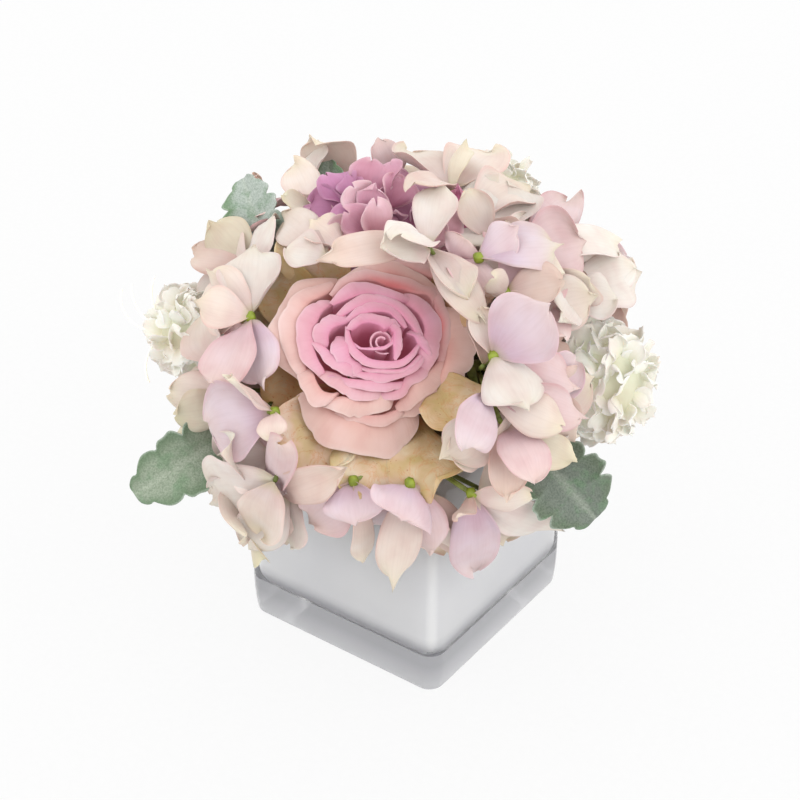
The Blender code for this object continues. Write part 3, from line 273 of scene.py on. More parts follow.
# Rose petals from the middle outwards: rim as (across, up) in the front view, width of the part that
# is turned over, height of the rim along the rose's axis, tone from mauve pink 0 to cream peach 1, coral
ROSE_RIMS = (
    (((-19.5, 24.3), (-17, 20.8), (-11, 20.1), (-6, 20.5), (-2.5, 23), (-2, 28)), 1.0, 42.3, 0.0, 0),
    (((-6, 32.8), (-2.5, 32), (0.5, 28.5), (1.3, 24), (0.6, 19.5), (-1.5, 15.7)), 3.0, 42.0, 0.0, 0),
    (((-22, 29.5), (-19.5, 33.3), (-15, 35.5), (-10, 35.5), (-6.5, 33.8), (-2, 33.2), (1, 31)),
     4.2, 41.5, 0.0, 0),
    (((-22, 31), (-22.8, 26), (-21.5, 20), (-17.5, 15.5), (-14, 13.2), (-8, 12.6), (-1, 13), (3, 14.5),
      (6.5, 18), (8.8, 23)), 2.6, 41.2, 0.05, 0),
    (((-22.3, 33), (-19, 37.3), (-14.5, 39.6), (-8, 40), (-3, 38.7), (1, 34.5), (3.5, 30.5)),
     3.2, 40.8, 0.05, 0),
    (((5, 29), (9, 26.5), (11, 24), (13, 20.5), (13, 18.5)), 3.5, 39.5, 0.05, 0),
    (((-26, 35.5), (-21.5, 40.5), (-15, 43.5), (-8, 43), (-1, 40.8), (4, 37), (8, 32), (10, 27)),
     3.6, 40.0, 0.1, 0),
    (((-18, 14), (-13, 11.3), (-5, 10.7), (2, 11), (6, 14), (9.5, 19)), 1.4, 40.2, 0.1, 0),
    (((-25.5, 26.8), (-28, 24), (-28.5, 19.5), (-26, 15), (-22, 12), (-17, 9.6)), 5.5, 39.5, 0.1, 0),
    (((-21, 11), (-14, 8), (-7.5, 6.9), (-2, 8), (4, 10), (8.5, 13.5), (10.8, 17.5), (10.5, 20)),
     3.0, 39.2, 0.1, 0),
    (((-22.5, 35.2), (-28, 35.3), (-32.5, 33), (-35.6, 28.5), (-35.8, 25), (-33.5, 21)), 6.0, 38.7, 0.1, 0),
    (((-36.3, 24), (-34, 20), (-31, 16), (-28, 12.8), (-24, 10.5), (-20, 9.6), (-16, 9.4)),
     4.2, 38.5, 0.15, 0),
    (((-29, 40.5), (-24, 45.5), (-19.5, 48.2), (-14, 48.8), (-6, 45.8), (0, 44), (6, 42)),
     4.6, 38.6, 0.12, 0),
    (((-30, 10), (-23, 6), (-15, 3.7), (-9, 3.4), (-5, 3.1), (0, 4.5), (4, 7)), 3.2, 37.6, 0.2, 0),
    (((2, 44), (8, 42.3), (13, 38.5), (17, 32), (17.6, 26.5), (16, 20), (13.8, 14.5), (11, 11.5)),
     6.5, 37.0, 0.2, 0),
    (((-28.5, 41.5), (-34, 41), (-39.5, 37.5), (-42.5, 31), (-42.8, 25), (-41, 18), (-38, 13.5), (-33, 10)),
     5.6, 36.6, 0.25, 0),
    (((-35, 11.8), (-28, 5), (-22, 1.2), (-16, -0.6), (-12, -0.4), (-7, 1.2)), 4.5, 35.9, 0.45, 0),
    (((-9, 0.8), (-3, -0.3), (1, 0.8), (3, 3), (5, 6.3), (8, 6.8), (12, 11), (13.5, 15)), 3.6, 36.1, 0.3, 0),
    (((-29, 44), (-25, 49), (-18, 53), (-11, 54), (-5, 51.5), (0, 50.5), (6, 49), (9, 46.5), (13, 46.8),
      (15.5, 44), (15, 39)), 4.4, 35.0, 0.75, 0.9),
    (((14.5, 47), (17.5, 43), (19.5, 37), (20.8, 31), (20.8, 25), (20, 18), (18, 14)), 4.4, 34.5, 0.75, 1.0),
    (((-28, 49.5), (-36, 46.5), (-44, 43.5), (-49.5, 33), (-49.3, 24), (-46.5, 17), (-41, 10)),
     6.5, 33.7, 0.9, 0),
    (((-43, 13), (-40.5, 5), (-37, -1.5), (-33, -3.4), (-30.3, -2.6), (-27, 0)), 6.0, 33.2, 0.9, 0),
    (((-31, -2), (-25, -6), (-18, -7.2), (-12, -6.5), (-8, -5), (-4, -4), (-2, 0)), 6.4, 33.4, 0.95, 0),
    (((20, 17), (20, 13), (18.5, 8.5), (14, 3.5), (8, -1), (4, -3.5), (-1, -4.6)), 6.0, 33.5, 0.95, 0),
    (((-27, -5.5), (-21, -9.5), (-19, -8), (-15, -10.5), (-7, -11), (-2, -9), (2, -5)), 3.6, 31.7, 0.9, 0),
    (((-25, 50), (-18, 54.5), (-10, 56.8), (-3, 57.2), (4, 54.5), (10, 50.5), (15, 46.5), (18, 42), (19, 37)),
     6.0, 32.1, 0.95, 0.25),
    (((24, 10), (20, 2), (17.5, -0.5), (12, -4), (5, -7), (-1, -6.8)), 6.5, 31.0, 1.0, 0),
    (((18, 39), (23, 37), (27.5, 34), (30.5, 28.5), (31.3, 22.5), (30, 16), (27.5, 9), (25.5, 5.5),
      (20, 0.5)), 10.0, 32.6, 1.0, 0),
    (((-26, 50.5), (-34, 50), (-42, 49), (-50, 38), (-55.5, 26.5), (-53.5, 16.5), (-47, 12), (-39, 8)),
     7.5, 30.1, 1.0, 0),
    (((-4, 57), (3, 58.5), (10, 57), (16, 54.5), (21, 51), (23, 47), (22.5, 41)), 5.0, 29.2, 0.85, 0.15),
    (((-41.5, 3), (-40, -7), (-36, -15.5), (-30, -19), (-22, -22), (-15, -23.5), (-5, -24.5), (0, -21),
      (5, -15.5), (8.5, -11), (8, -4)), 13.0, 27.2, 1.0, 0),
    (((11, 58), (17, 62), (22, 57.5), (28, 51), (28, 46), (25, 40)), 7.0, 25.6, 1.0, 0),
)

# Ochre petals under the rose: root and tip as (across, up, towards the viewer), width, roll, dyes of
# their middle and of their left and right edge
ROSE_GUARDS = (
    ((-22, 40, 46), (-43, 69, 40), 30.0, 0, "#f1decf", "#f2d1b6", "#ede0b5"),
    ((-24, 34, 48), (-57, 44, 46), 24.0, 0, "#e1ceae", "#dfcaa5", "#dfcba3"),
    ((-36, 30, 46), (-64, 32, 46), 28.0, 0, "#e6dcbc", "#e2d7ae", "#e2d0b1"),
    ((-34, 12, 50), (-53, -2, 60), 22.0, 0, "#d6ba91", "#d0b084", "#dbc39e"),
    ((-24, 4, 54), (-42, -28, 76), 34.0, 0, "#f1deca", "#efd8c4", "#e8dcbc"),
    ((-10, -8, 55), (-17, -38, 79), 27.0, 0, "#ecd9bf", "#e4dab1", "#edd2bc"),
    ((7, -6, 53), (12, -39, 80), 30.0, 0, "#e4d2ae", "#edd7bf", "#d8c599"),
    ((9, 6, 60), (31, -9, 80), 29.0, 0, "#ead7b4", "#e4cba4", "#edd6bc"),
    ((10, 42, 46), (36, 44, 52), 30.0, 0, "#efd4c5", "#e4c3aa", "#f2dad2"),
)

# Fineness of the rose: rows of a cup, rows of its lip, columns, and those of the bud and outer petals
ROSE_CUP_ROWS = 9
ROSE_LIP_ROWS = 12
ROSE_COLUMNS = 45
BUD_COLUMNS = 90
BUD_ROW_COUNT = 9
BUD_RIM_ROWS = 5
GUARD_GRID = (24, 19)
SEPAL_GRID = (12, 7)

# A lip of the rose: how much of its band is turned over, its rise and its swell as shares of that
LIP_TURN = 1.15
LIP_RISE = 0.10
LIP_SWELL = 0.28

# How much of the light the rose's dyes give back
ROSE_SHADE = 0.72
GUARD_SHADE = 0.8

# Fineness of the leaves and of the hydrangea's petals, those that show and the deeper ones
LEAF_ROWS = 66
LEAF_COLUMNS = 17
SHOWN_GRID = (18, 13)
DEEPER_GRID = (12, 9)

# How much wider the shown petals are than the solids', the narrow ones and the others
NARROW_WIDTH = 14.0
NARROW_WIDENING = 1.3
BROAD_WIDENING = 1.14

# Thickness of each kind of cloth
CLOTH = {"hydrangea": 0.45, "rose": 0.4, "bud": 0.5, "guard": 0.5, "round_head": 0.4, "leaf": 0.7,
         "sepal": 0.6}

# Sides of the round stalks, and radius of the thin ones and of the threads
STALK_SIDES = 8
STEM_SIDES = 10
ROSE_STEM_SIDES = 12
THIN_SIDES = 6
THIN_RADIUS = 0.9
THREAD_RADIUS = 0.38
THREAD_POINTS = 26

# Greens of the moulded parts
GREENS = {"eye": "#8f9f30", "stalk": "#8e9a4d", "thin_stalk": "#6f7d35", "stem": "#6d7d3a", "hub": "#7c8a44",
          "rose_stem": "#5f7434", "sepal": "#6c8240", "head_stem": "#7b8a48", "leaf_stalk": "#8d9c84"}

# Deeper florets of the hydrangea, in two layers: share of the dome, spacing, petal length and width, dyes
DEEPER_LAYERS = (
    (0.78, 23.0, 25.0, 23.0, ("wc", "cp", "pc", "cw", "tc", "lc", "wp")),
    # The second layer's browner dyes are painted shade of the deepest florets
    (0.62, 17.0, 21.0, 19.0, ("d", "dt", "t", "d")),
)
DEEPER_PLACES = 420
DEEPER_LOWEST = 97.0
DEEPER_DEPTH = 1.30
DEEPER_TURN = 1.3

# Parts of the front view that the deeper florets stay out of: across, up, room
CLEAR_ROOMS = ((-7, 22, 60), (-14, 78, 26), (84, 8, 32), (-90, 28, 24), (-56, 74, 18), (76, -38, 26),
               (-94, -26, 24), (24, -30, 14))

# Thin petals between those of the solids: head, eye, tips and their dyes, read like those of the florets
EXTRA_FLORETS = (
    ("hydrangea_left", (-58, 56, 0.76), ((-66, 78, 17, 0.93, 0), (-73, 66, 14, 0.90, 0)), "pt"),
    ("hydrangea_left", (-62, 36, 0.82), ((-86, 52, 18, 0.93, 0), (-82, 38, 15, 0.95, 20)), "cc"),
    ("hydrangea_left", (-52, -22, 0.84), ((-73, -23, 16, 0.97, 0), (-46, -38, 13, 0.98, 0)), "wl"),
    ("hydrangea_left", (-27, -35, 0.86), ((-52, -41, 10, 0.95, 20), (-39, -53, 17, 0.95, 0)), "wl"),
    ("hydrangea_left", (-46, -38, 0.90), ((-45, -59, 16, 0.99, 0), (-62, -60, 15, 0.98, 0)), "ww"),
    ("hydrangea_left", (-51, -33, 0.97), ((-77, -38, 23, 1.04, 0), (-57, -55, 16, 1.03, 0)), "wc"),
    ("hydrangea_left", (-70, 4, 0.74), ((-90, -14, 18, 0.9, 0), (-86, 8, 14, 0.9, 0)), "yc"),
    ("hydrangea_right", (50, 36, 0.80), ((78, 42, 16, 0.92, 0), (67, 26, 14, 0.94, 0)), "cp"),
    ("hydrangea_right", (34, 14, 0.84), ((33, 38, 12, 0.92, 0),), "t"),
    ("hydrangea_right", (36, -8, 0.80), ((19, -23, 17, 0.94, 0),), "c"),
    ("hydrangea_right", (52, 4, 0.80), ((72, 16, 14, 0.90, 0), (70, -16, 14, 0.9, 0)), "lt"),
    ("hydrangea_right", (66, 44, 0.76), ((92, 58, 17, 0.92, 0), (78, 62, 15, 0.92, 0)), "wc"),
    ("hydrangea_top", (-24, 62, 0.80), ((-52, 83, 16, 0.94, 0), (-36, 72, 13, 0.92, 0)), "wc"),
    ("hydrangea_top", (-30, 58, 0.84), ((-48, 76, 13, 0.94, 0), (-46, 62, 13, 0.92, 0)), "cw"),
    ("hydrangea_top", (30, 72, 0.80),
     ((52, 86, 18, 0.92, 0), (14, 98, 14, 0.9, 0), (62, 78, 16, 0.9, 0)), "cwp"),
    ("hydrangea_top", (44, 52, 0.84), ((66, 52, 16, 0.96, 0),), "c"),
    ("hydrangea_top", (12, 62, 0.95), ((-7, 62, 17, 1.07, 0),), "w"),
    ("hydrangea_top", (22, 58, 0.80), ((34, 44, 15, 0.93, 0), (26, 66, 12, 0.92, 0)), "pp"),
    ("hydrangea_front", (10, -38, 0.84), ((24, -60, 16, 0.92, 0), (-10, -52, 14, 0.9, 0)), "tl"),
    ("hydrangea_front", (40, -40, 0.84), ((42, -58, 16, 0.93, 0),), "c"),
)

# Mauve petals that the front view shows: root and tip as (across, up, towards the viewer), width, dye
MAUVE_PETALS = (
    ((-20, 76, 34), (-38, 80, 32), 14.0, "deep"),
    ((-20, 78, 34), (-30, 91, 30), 14.0, "deep"),
    ((-18, 80, 38), (-21, 91, 34), 10.0, "deep"),
    ((-14, 80, 36), (-11, 97, 30), 15.0, "mid"),
    ((-7, 80, 38), (-4, 97, 32), 14.0, "mid"),
    ((-5, 78, 40), (3, 91, 38), 14.0, "mid"),
    ((-16, 72, 42), (-28, 73, 46), 13.0, "deep"),
    ((-14, 76, 42), (-20, 87, 48), 14.0, "light"),
    ((-12, 75, 44), (-10, 86, 52), 12.0, "mid"),
    ((-12, 68, 44), (-31, 66, 50), 13.0, "light"),
    ((-12, 68, 46), (-22, 77, 54), 12.0, "mid"),
    ((-9, 66, 48), (-10, 81, 58), 11.0, "light"),
    ((22, 60, 38), (24, 86, 34), 13.0, "dark"),
    ((25, 60, 40), (32, 72, 42), 11.0, "dark"),
    ((16, 60, 46), (20, 78, 52), 12.0, "light"),
    ((10, 60, 46), (17, 74, 55), 11.0, "light"),
)

# Room round the blooms that the deeper florets stay out of
ROSE_ROOM = 41.0
MAUVE_ROOM = 36.0
WHITE_ROOM = 31.0

# Fineness of the vase, how far the white layer's face is grown into the clear one's, how far its
# first and last loop are drawn in, and the half width of the painted highlight along each corner
FINE_CORNER_STEPS = 14
FINE_BEND_STEPS = 9
LINING_SINK = 0.15
DRAWN_IN = (0.97, 0.97, 1.0)
HIGHLIGHT_BAND = 2.2

# Curled threads of the left white head: first direction above the left, turn along it, length, and
# where they start, to the left of the head's middle and towards the viewer
THREAD_START = (10.0, 3.0)
THREADS = ((50, 60, 24.0), (20, 75, 26.0), (-5, 110, 30.0), (-35, -80, 24.0))

# The point of the working frame that lies at the origin of the shared one
FOOT = np.array([0.0, 0.0, FOOT_LEVEL])

# Light
WORLD_STRENGTH = 1.3
LEFT_POWER = 2.2
RIGHT_POWER = 4.6
BOX_SIDE = 0.9
LEFT_BOX = (-0.25, -1.05, 0.95)
LEFT_AIM = (0, 0, 0.12)
RIGHT_BOX = (1.15, -0.15, 0.75)
RIGHT_AIM = (0, 0, 0.10)

# The light table: half side and drop below the foot in metres, and how bright it is
TABLE_REACH = 4.0
TABLE_DROP = 0.0004
TABLE_GLOW = 0.885

# Camera: width of its sensor and focal length in millimetres, nearest and furthest that it sees in metres
SENSOR_WIDTH = 36.0
FOCAL_LENGTH = 90.0
SIGHT_RANGE = (0.05, 20.0)

# First number of the random draws of each kind of piece
SEEDS = {"rose": 5, "rose_stem": 6, "hydrangea": 20, "mauve": 40, "white": 50, "leaf": 60}

# Dye of each petal that the front view shows, floret by floret: w white, c cream, l lavender, p pink,
# y yellow green, t tan, partly painted shade on petals in shade, b lavender that runs to yellow
FLORET_DYES = {
    "hydrangea_left": ("wccpl", "yt", "lcc", "cy", "wptc", "wyc"),
    "hydrangea_front": ("lpc", "lpcc", "lcwt"),
    "hydrangea_right": ("lcp", "tpyc", "clwp", "ptcc", "wwcw"),
    "hydrangea_top": ("ppww", "bl", "wc", "ccyt", "p", "wccwt"),
    "hydrangea_back_left": ("cy",),
    "hydrangea_back_right": (),
}
RULE_DYES = ("wcpc", "clcw", "pcwl", "cwtc", "lcwp")


# The rules of the solids

def seen_at(across, up, lift):
    """The point of the dome, scaled by lift, behind (across, up) in the front view.

    Past the dome's edge it is the point where the line of sight comes nearest to the dome.
    """
    ray = unit(VIEW_CENTRE + VIEW_RIGHT * across + VIEW_UP * up - EYE)
    reach = DOME_REACH * lift
    start = (EYE - DOME_CENTRE) / reach
    step = ray / reach
    a = step @ step
    b = start @ step
    c = start @ start - 1.0
    root = math.sqrt(max(b * b - a * c, 0.0))
    return EYE + ray * (-b - root) / a


def dome_normal(point):
    """The outward direction of the dome at a point."""
    return unit((point - DOME_CENTRE) / DOME_REACH ** 2)


def in_front(place):
    """The point at (across, up, towards the viewer), across and up as the front view shows them."""
    across, up, depth = place
    nearer = (VIEW_DISTANCE - depth) / VIEW_DISTANCE
    return VIEW_CENTRE + (VIEW_RIGHT * across + VIEW_UP * up) * nearer + TO_VIEWER * depth


def sheet_normals(sheet):
    """The normal of length one at each point of a grid of points."""
    normal = np.cross(np.gradient(sheet, axis=0), np.gradient(sheet, axis=1))
    return normal / np.maximum(np.linalg.norm(normal, axis=2, keepdims=True), 1e-9)


def thicken(sheet, thickness):
    """A closed solid from a grid of points: both faces, set off along the normals, and the edge."""
    rows, columns = sheet.shape[:2]
    offset = sheet_normals(sheet) * thickness / 2
    points = np.concatenate([(sheet + offset).reshape(-1, 3), (sheet - offset).reshape(-1, 3)])
    index = np.arange(rows * columns).reshape(rows, columns)
    a, b = index[:-1, :-1].ravel(), index[1:, :-1].ravel()
    c, d = index[1:, 1:].ravel(), index[:-1, 1:].ravel()
    upper = np.concatenate([np.stack([a, b, c], 1), np.stack([a, c, d], 1)])
    lower = upper[:, ::-1] + rows * columns
    edge = np.concatenate([index[:, 0][::-1], index[0, 1:], index[1:, -1], index[-1, :-1][::-1][:-1]])
    following = np.roll(edge, -1)
    under = edge + rows * columns
    under_following = following + rows * columns
    sides = np.concatenate([np.stack([following, edge, under], 1),
                            np.stack([following, under, under_following], 1)])
    return points, np.concatenate([upper, lower, sides[:, ::-1]]).tolist()


def petal_grid(grid):
    """Shares along and across a petal over its grid of rows and columns, for its dye."""
    rows, columns = grid
    return np.meshgrid(np.linspace(0, 1, rows), petal_columns(columns), indexing="ij")


def blade_axes(blade):
    """The directions of a blade: along it, across it and out of its face."""
    ahead = unit(blade["tip"] - blade["root"])
    face = unit(blade["outward"] - ahead * (blade["outward"] @ ahead))
    side = np.cross(face, ahead)
    roll = math.radians(blade.get("roll", 0.0))
    return (ahead, side * math.cos(roll) - face * math.sin(roll),
            face * math.cos(roll) + side * math.sin(roll))


def blade_sheet(u, v, blade):
    """A petal's grid of points for u along it and v across it.

    The half width is sin(pi u^narrowing)^fullness, the midrib rises by sin(pi u) and the edges lift or
    droop with the square of v. A ruffle waves the edge along u.
    """
    root, width = blade["root"], blade["width"]
    length = np.linalg.norm(blade["tip"] - root)
    ahead, side, face = blade_axes(blade)
    u_grid, v_grid = np.meshgrid(u, v, indexing="ij")
    swell = np.maximum(np.sin(np.pi * u_grid ** blade.get("narrowing", 1.6)), 0.0)
    half = width / 2 * swell ** blade.get("fullness", 0.6)
    half = half * lobed(u_grid, blade.get("lobes", 0))
    rise = blade.get("arch", 0.12) * length * np.sin(np.pi * u_grid)
    rise += blade.get("cup", -0.1) * width * (half / width * 2) * v_grid ** 2
    rise += blade.get("ruffle", 0.0) * width * v_grid ** 2 * np.sin(9 * u_grid + 2 * v_grid)
    return (root + ahead * (length * u_grid)[..., None] + side * (half * v_grid)[..., None]
            + face * rise[..., None])


def lobed(u, count):
    """The share of the full width at u on a leaf whose edge has this many round lobes a side."""
    if not count:
        return 1.0
    notch = 1.0 - np.abs(np.sin(np.pi * (count + 0.5) * u))
    return 1.0 - 0.26 * notch ** 2


PETAL_U = np.array([0.03, 0.36, 0.72, 0.96])
PETAL_V = np.array([-1.0, 0.0, 1.0])
PLAIN_V = np.array([-1.0, 1.0])
LEAF_U = np.array([0.03, 0.111, 0.222, 0.333, 0.444, 0.555, 0.667, 0.778, 0.889, 0.965])


def petal_solid(blade, extra=0.0):
    """A petal as a solid, or with a margin all round for testing its clearance."""
    grown = dict(blade)
    grown["width"] = blade["width"] + 2 * extra
    grown["tip"] = blade["tip"] + unit(blade["tip"] - blade["root"]) * extra
    u = LEAF_U if blade.get("lobes", 0) else PETAL_U
    v = PLAIN_V if blade.get("plain", False) else PETAL_V
    return thicken(blade_sheet(u, v, grown), BLADE + 2 * extra)


def circles(path, radii, sides):
    """Rings of points square to a path of points, with a radius for each."""
    path = np.asarray(path, dtype=float)
    radii = np.broadcast_to(radii, len(path))
    ahead = np.gradient(path, axis=0)
    ahead /= np.linalg.norm(ahead, axis=1, keepdims=True)
    across = np.cross(ahead, RING_GUIDE)
    across /= np.linalg.norm(across, axis=1, keepdims=True)
    other = np.cross(ahead, across)
    turn = np.linspace(0, 2 * np.pi, sides, endpoint=False)
    ring = across[:, None] * np.cos(turn)[None, :, None] + other[:, None] * np.sin(turn)[None, :, None]
    return path[:, None] + ring * radii[:, None, None]


def tube(path, radii, sides):
    """A tube along a path of points, with a radius for each point and flat ends."""
    return loft(circles(path, radii, sides))


def globe(tilt, sides, lobes=0):
    """Rings of a ball of radius one at these tilts from its pole, with a waist between each two lobes."""
    turn = np.linspace(0, 2 * np.pi, sides, endpoint=False)
    swell = 1 + LOBE_SWELL * np.cos(lobes * turn) * (lobes > 0)
    return np.stack([np.outer(np.sin(tilt), np.cos(turn) * swell),
                     np.outer(np.sin(tilt), np.sin(turn) * swell),
                     np.outer(np.cos(tilt), np.ones(sides))], axis=2)


def round_faces(rows, sides):
    """The faces of a body whose points are those of its rings, then its two poles."""
    index = np.arange(rows * sides).reshape(rows, sides)
    after = np.roll(index, -1, axis=1)
    first = np.stack([after[0], index[0], np.full(sides, rows * sides)], axis=-1)
    last = np.stack([index[-1], after[-1], np.full(sides, rows * sides + 1)], axis=-1)
    return [*ring_quads(rows, sides).tolist(), *first.tolist(), *last.tolist()]


def ball(centre, radii, rings, sides):
    """A round body of rings and sides about a centre, with a radius for each axis."""
    body = globe(np.linspace(0, np.pi, rings + 1)[1:-1], sides).reshape(-1, 3)
    points = np.concatenate([body, [[0, 0, 1], [0, 0, -1]]]) * np.broadcast_to(radii, 3) + centre
    return points, round_faces(rings - 1, sides)


def bead(centre, radius):
    """A small eight-sided bead, the eye of a floret."""
    corners = np.array([[1, 0, 0], [0, 1, 0], [-1, 0, 0], [0, -1, 0], [0, 0, 1], [0, 0, -1]]) * radius
    faces = [(0, 1, 4), (1, 2, 4), (2, 3, 4), (3, 0, 4), (1, 0, 5), (2, 1, 5), (3, 2, 5), (0, 3, 5)]
    return corners + centre, faces


def tree_of(solid):
    """A search tree over a solid's faces."""
    points, faces = solid
    return BVHTree.FromPolygons(np.asarray(points).tolist(), faces)


class Placed:
    """The search trees of what is already placed, by node."""

    def __init__(self):
        """Start with nothing placed."""
        self.trees = {}

    def add(self, node, solid):
        """Note a solid of a node."""
        self.trees.setdefault(node, []).append(tree_of(solid))

    def crossings(self, node, tree):
        """How many solids of other nodes, and of the same node, a tree crosses."""
        others, own = 0, 0
        for name, trees in self.trees.items():
            hits = sum(1 for other in trees if tree.overlap(other))
            if name == node:
                own += hits
            else:
                others += hits
        return others, own


PLACED = Placed()


def settle(node, blade, slide):
    """Bend a blade's tip along slide until it is clear of the other nodes, or shorten it.

    Among the clear bends it takes the first that crosses fewest blades of its own node.
    """
    for shrink in PETAL_SHRINKS:
        best = None
        for shift in PETAL_SHIFTS:
            tried = dict(blade)
            tried["tip"] = blade["root"] + (blade["tip"] - blade["root"]) * shrink + slide * shift
            tried["width"] = blade["width"] * shrink
            others, own = PLACED.crossings(node, tree_of(petal_solid(tried, GAP + 0.1)))
            if others == 0 and (best is None or own < best[0]):
                best = (own, tried)
            if others == 0 and own <= 1:
                break
        if best is not None:
            PLACED.add(node, petal_solid(best[1]))
            return best[1]
    return None


def stem_path(top, entry, foot):
    """From the top over a curve into the foam at entry, then straight to the foot."""
    top, entry = np.asarray(top, dtype=float), np.asarray(entry, dtype=float)
    foot = np.array([foot[0], foot[1], STEM_FOOT])
    above = entry + unit(entry - foot) * max(STEM_RISE, 0.5 * (top[2] - entry[2]))
    share = np.linspace(0, 1, 4)[:, None]
    curve = top * (1 - share) ** 2 + above * 2 * share * (1 - share) + entry * share ** 2
    return np.concatenate([curve, [foot]])


def square_loop(half, corner, height, steps=CORNER_STEPS):
    """A square of half side with round corners, as points from above anticlockwise."""
    corner = max(corner, LEAST_CORNER)
    turn = np.radians(np.linspace(0, 90, steps + 1))
    x = half - corner + corner * np.cos(turn)
    y = half - corner + corner * np.sin(turn)
    quarters = [(x, y), (-y, x), (-x, -y), (y, -x)]
    ring = np.concatenate([np.stack(pair, axis=1) for pair in quarters])
    return np.column_stack([ring, np.full(len(ring), height)])


def ring_quads(rows, sides):
    """The faces between rings of points, each ring closed on itself."""
    index = np.arange(rows * sides).reshape(rows, sides)
    after = np.roll(index, -1, axis=1)
    return np.stack([index[:-1], after[:-1], after[1:], index[1:]], axis=-1).reshape(-1, 4)


def loft(loops):
    """A solid through loops of equal count, closed flat at the first and the last."""
    rows, count = len(loops), len(loops[0])
    first = tuple(range(count))[::-1]
    last = tuple(range((rows - 1) * count, rows * count))
    return np.concatenate(loops), [first, *ring_quads(rows, count).tolist(), last]


def glass_loops(steps=CORNER_STEPS, bend=BEND_STEPS):
    """Loops of the clear cube from its foot over the rim to the floor of its hollow."""
    half = VASE_WIDTH / 2
    inner = half - GLASS_WALL
    inner_corner = VASE_CORNER - GLASS_WALL
    loops = []
    for angle in np.linspace(0, np.pi / 2, bend):
        inset = FOOT_TAPER * (1 - math.sin(angle))
        height = FOOT_LEVEL + FOOT_RISE * (1 - math.cos(angle))
        loops.append(square_loop(half - inset, VASE_CORNER - inset * 0.6, height, steps))
    loops.append(square_loop(half, VASE_CORNER, RIM_LEVEL - RIM_ROUND, steps))
    eased = RIM_ROUND * 0.3
    loops.append(square_loop(half - eased, VASE_CORNER - eased, RIM_LEVEL - eased, steps))
    loops.append(square_loop(half - RIM_ROUND, VASE_CORNER - RIM_ROUND, RIM_LEVEL, steps))
    loops.append(square_loop(inner, inner_corner, RIM_LEVEL, steps))
    floor = FOOT_LEVEL + GLASS_BASE
    hollow = lining_loops(inner, inner_corner, floor, RIM_LEVEL, LINING_FLOOR_ROUND, steps, bend)
    return loops + hollow[-2::-1]


def lining_loops(half, corner, floor, top, rounding, steps=CORNER_STEPS, bend=BEND_STEPS):
    """Loops of a square shell's face with a rounded floor edge, from its floor up."""
    loops = []
    for angle in np.linspace(0, np.pi / 2, bend):
        inset = rounding * (1 - math.sin(angle))
        height = floor + rounding * (1 - math.cos(angle))
        loops.append(square_loop(half - inset, corner - inset * 0.2, height, steps))
    loops.append(square_loop(half, corner, top, steps))
    return loops


def lining_shell_loops(grow=0.0, steps=CORNER_STEPS, bend=BEND_STEPS):
    """Loops of the white layer, outer face up and inner face down, its outer face grown by an amount."""
    half = VASE_WIDTH / 2 - GLASS_WALL - GAP
    corner = VASE_CORNER - GLASS_WALL - GAP
    floor = FOOT_LEVEL + GLASS_BASE + GAP
    outer = lining_loops(half + grow, corner + grow, floor - grow, RIM_LEVEL,
                         LINING_FLOOR_ROUND + grow, steps, bend)
    inner = lining_loops(half - LINING_WALL, corner - LINING_WALL, floor + LINING_WALL, RIM_LEVEL,
                         LINING_FLOOR_ROUND - LINING_WALL, steps, bend)
    return outer + inner[::-1]


ROSE_CENTRE = in_front(ROSE_PLACE)
ROSE_AXIS = unit(TO_VIEWER + VIEW_RIGHT * math.tan(math.radians(ROSE_LEAN[0]))
                 + VIEW_UP * math.tan(math.radians(ROSE_LEAN[1])))
ROSE_X = unit(VIEW_RIGHT - ROSE_AXIS * (VIEW_RIGHT @ ROSE_AXIS))
ROSE_Y = np.cross(ROSE_AXIS, ROSE_X)
ROSE_BASE = ROSE_CENTRE - ROSE_AXIS * ROSE_DEPTH


def rose_point(x, y, z):
    """Points of the rose's own frame, z along its axis from the base, in the arrangement."""
    return ROSE_BASE + x[..., None] * ROSE_X + y[..., None] * ROSE_Y + z[..., None] * ROSE_AXIS


def rose_petal(turn, rim, height, spread, shift, s, v):
    """A cupped petal: its radius grows as s^0.55 and its rim rolls outwards and falls at its ends.

    One side lies further out than the other, so that each petal of a ring laps over the next.
    """
    s_grid, v_grid = np.meshgrid(s, v, indexing="ij")
    lip = np.clip((s_grid - 0.78) / 0.22, 0, 1)
    reach = rim * (1 + ROSE_SKEW * v_grid) - ROSE_FOOT_RADIUS
    radius = ROSE_FOOT_RADIUS + reach * s_grid ** ROSE_CUP_POWER + lip ** 2 * rim * 0.05
    rise = height * s_grid * (1 - 0.20 * v_grid ** 2 * s_grid) - lip ** 2 * height * 0.05
    angle = math.radians(turn) + math.radians(spread) * v_grid * (0.3 + 0.7 * s_grid ** 0.7)
    return rose_point(radius * np.cos(angle) + shift[0] * s_grid,
                      radius * np.sin(angle) + shift[1] * s_grid, rise)


def rose_bud(columns, shares):
    """The wound bud: a coil that widens along itself and, at each share of its height, upwards."""
    share = np.linspace(0, 1, columns)
    coil = np.radians(BUD_COIL[0] + BUD_COIL[1] * share)
    radius = BUD_RADII[0] + (BUD_RADII[1] - BUD_RADII[0]) * share
    rows = [rose_point(radius * (0.5 + 0.5 * s) * np.cos(coil), radius * (0.5 + 0.5 * s) * np.sin(coil),
                       np.full(columns, BUD_FOOT + BUD_HEIGHT * s)) for s in shares]
    return np.stack(rows)


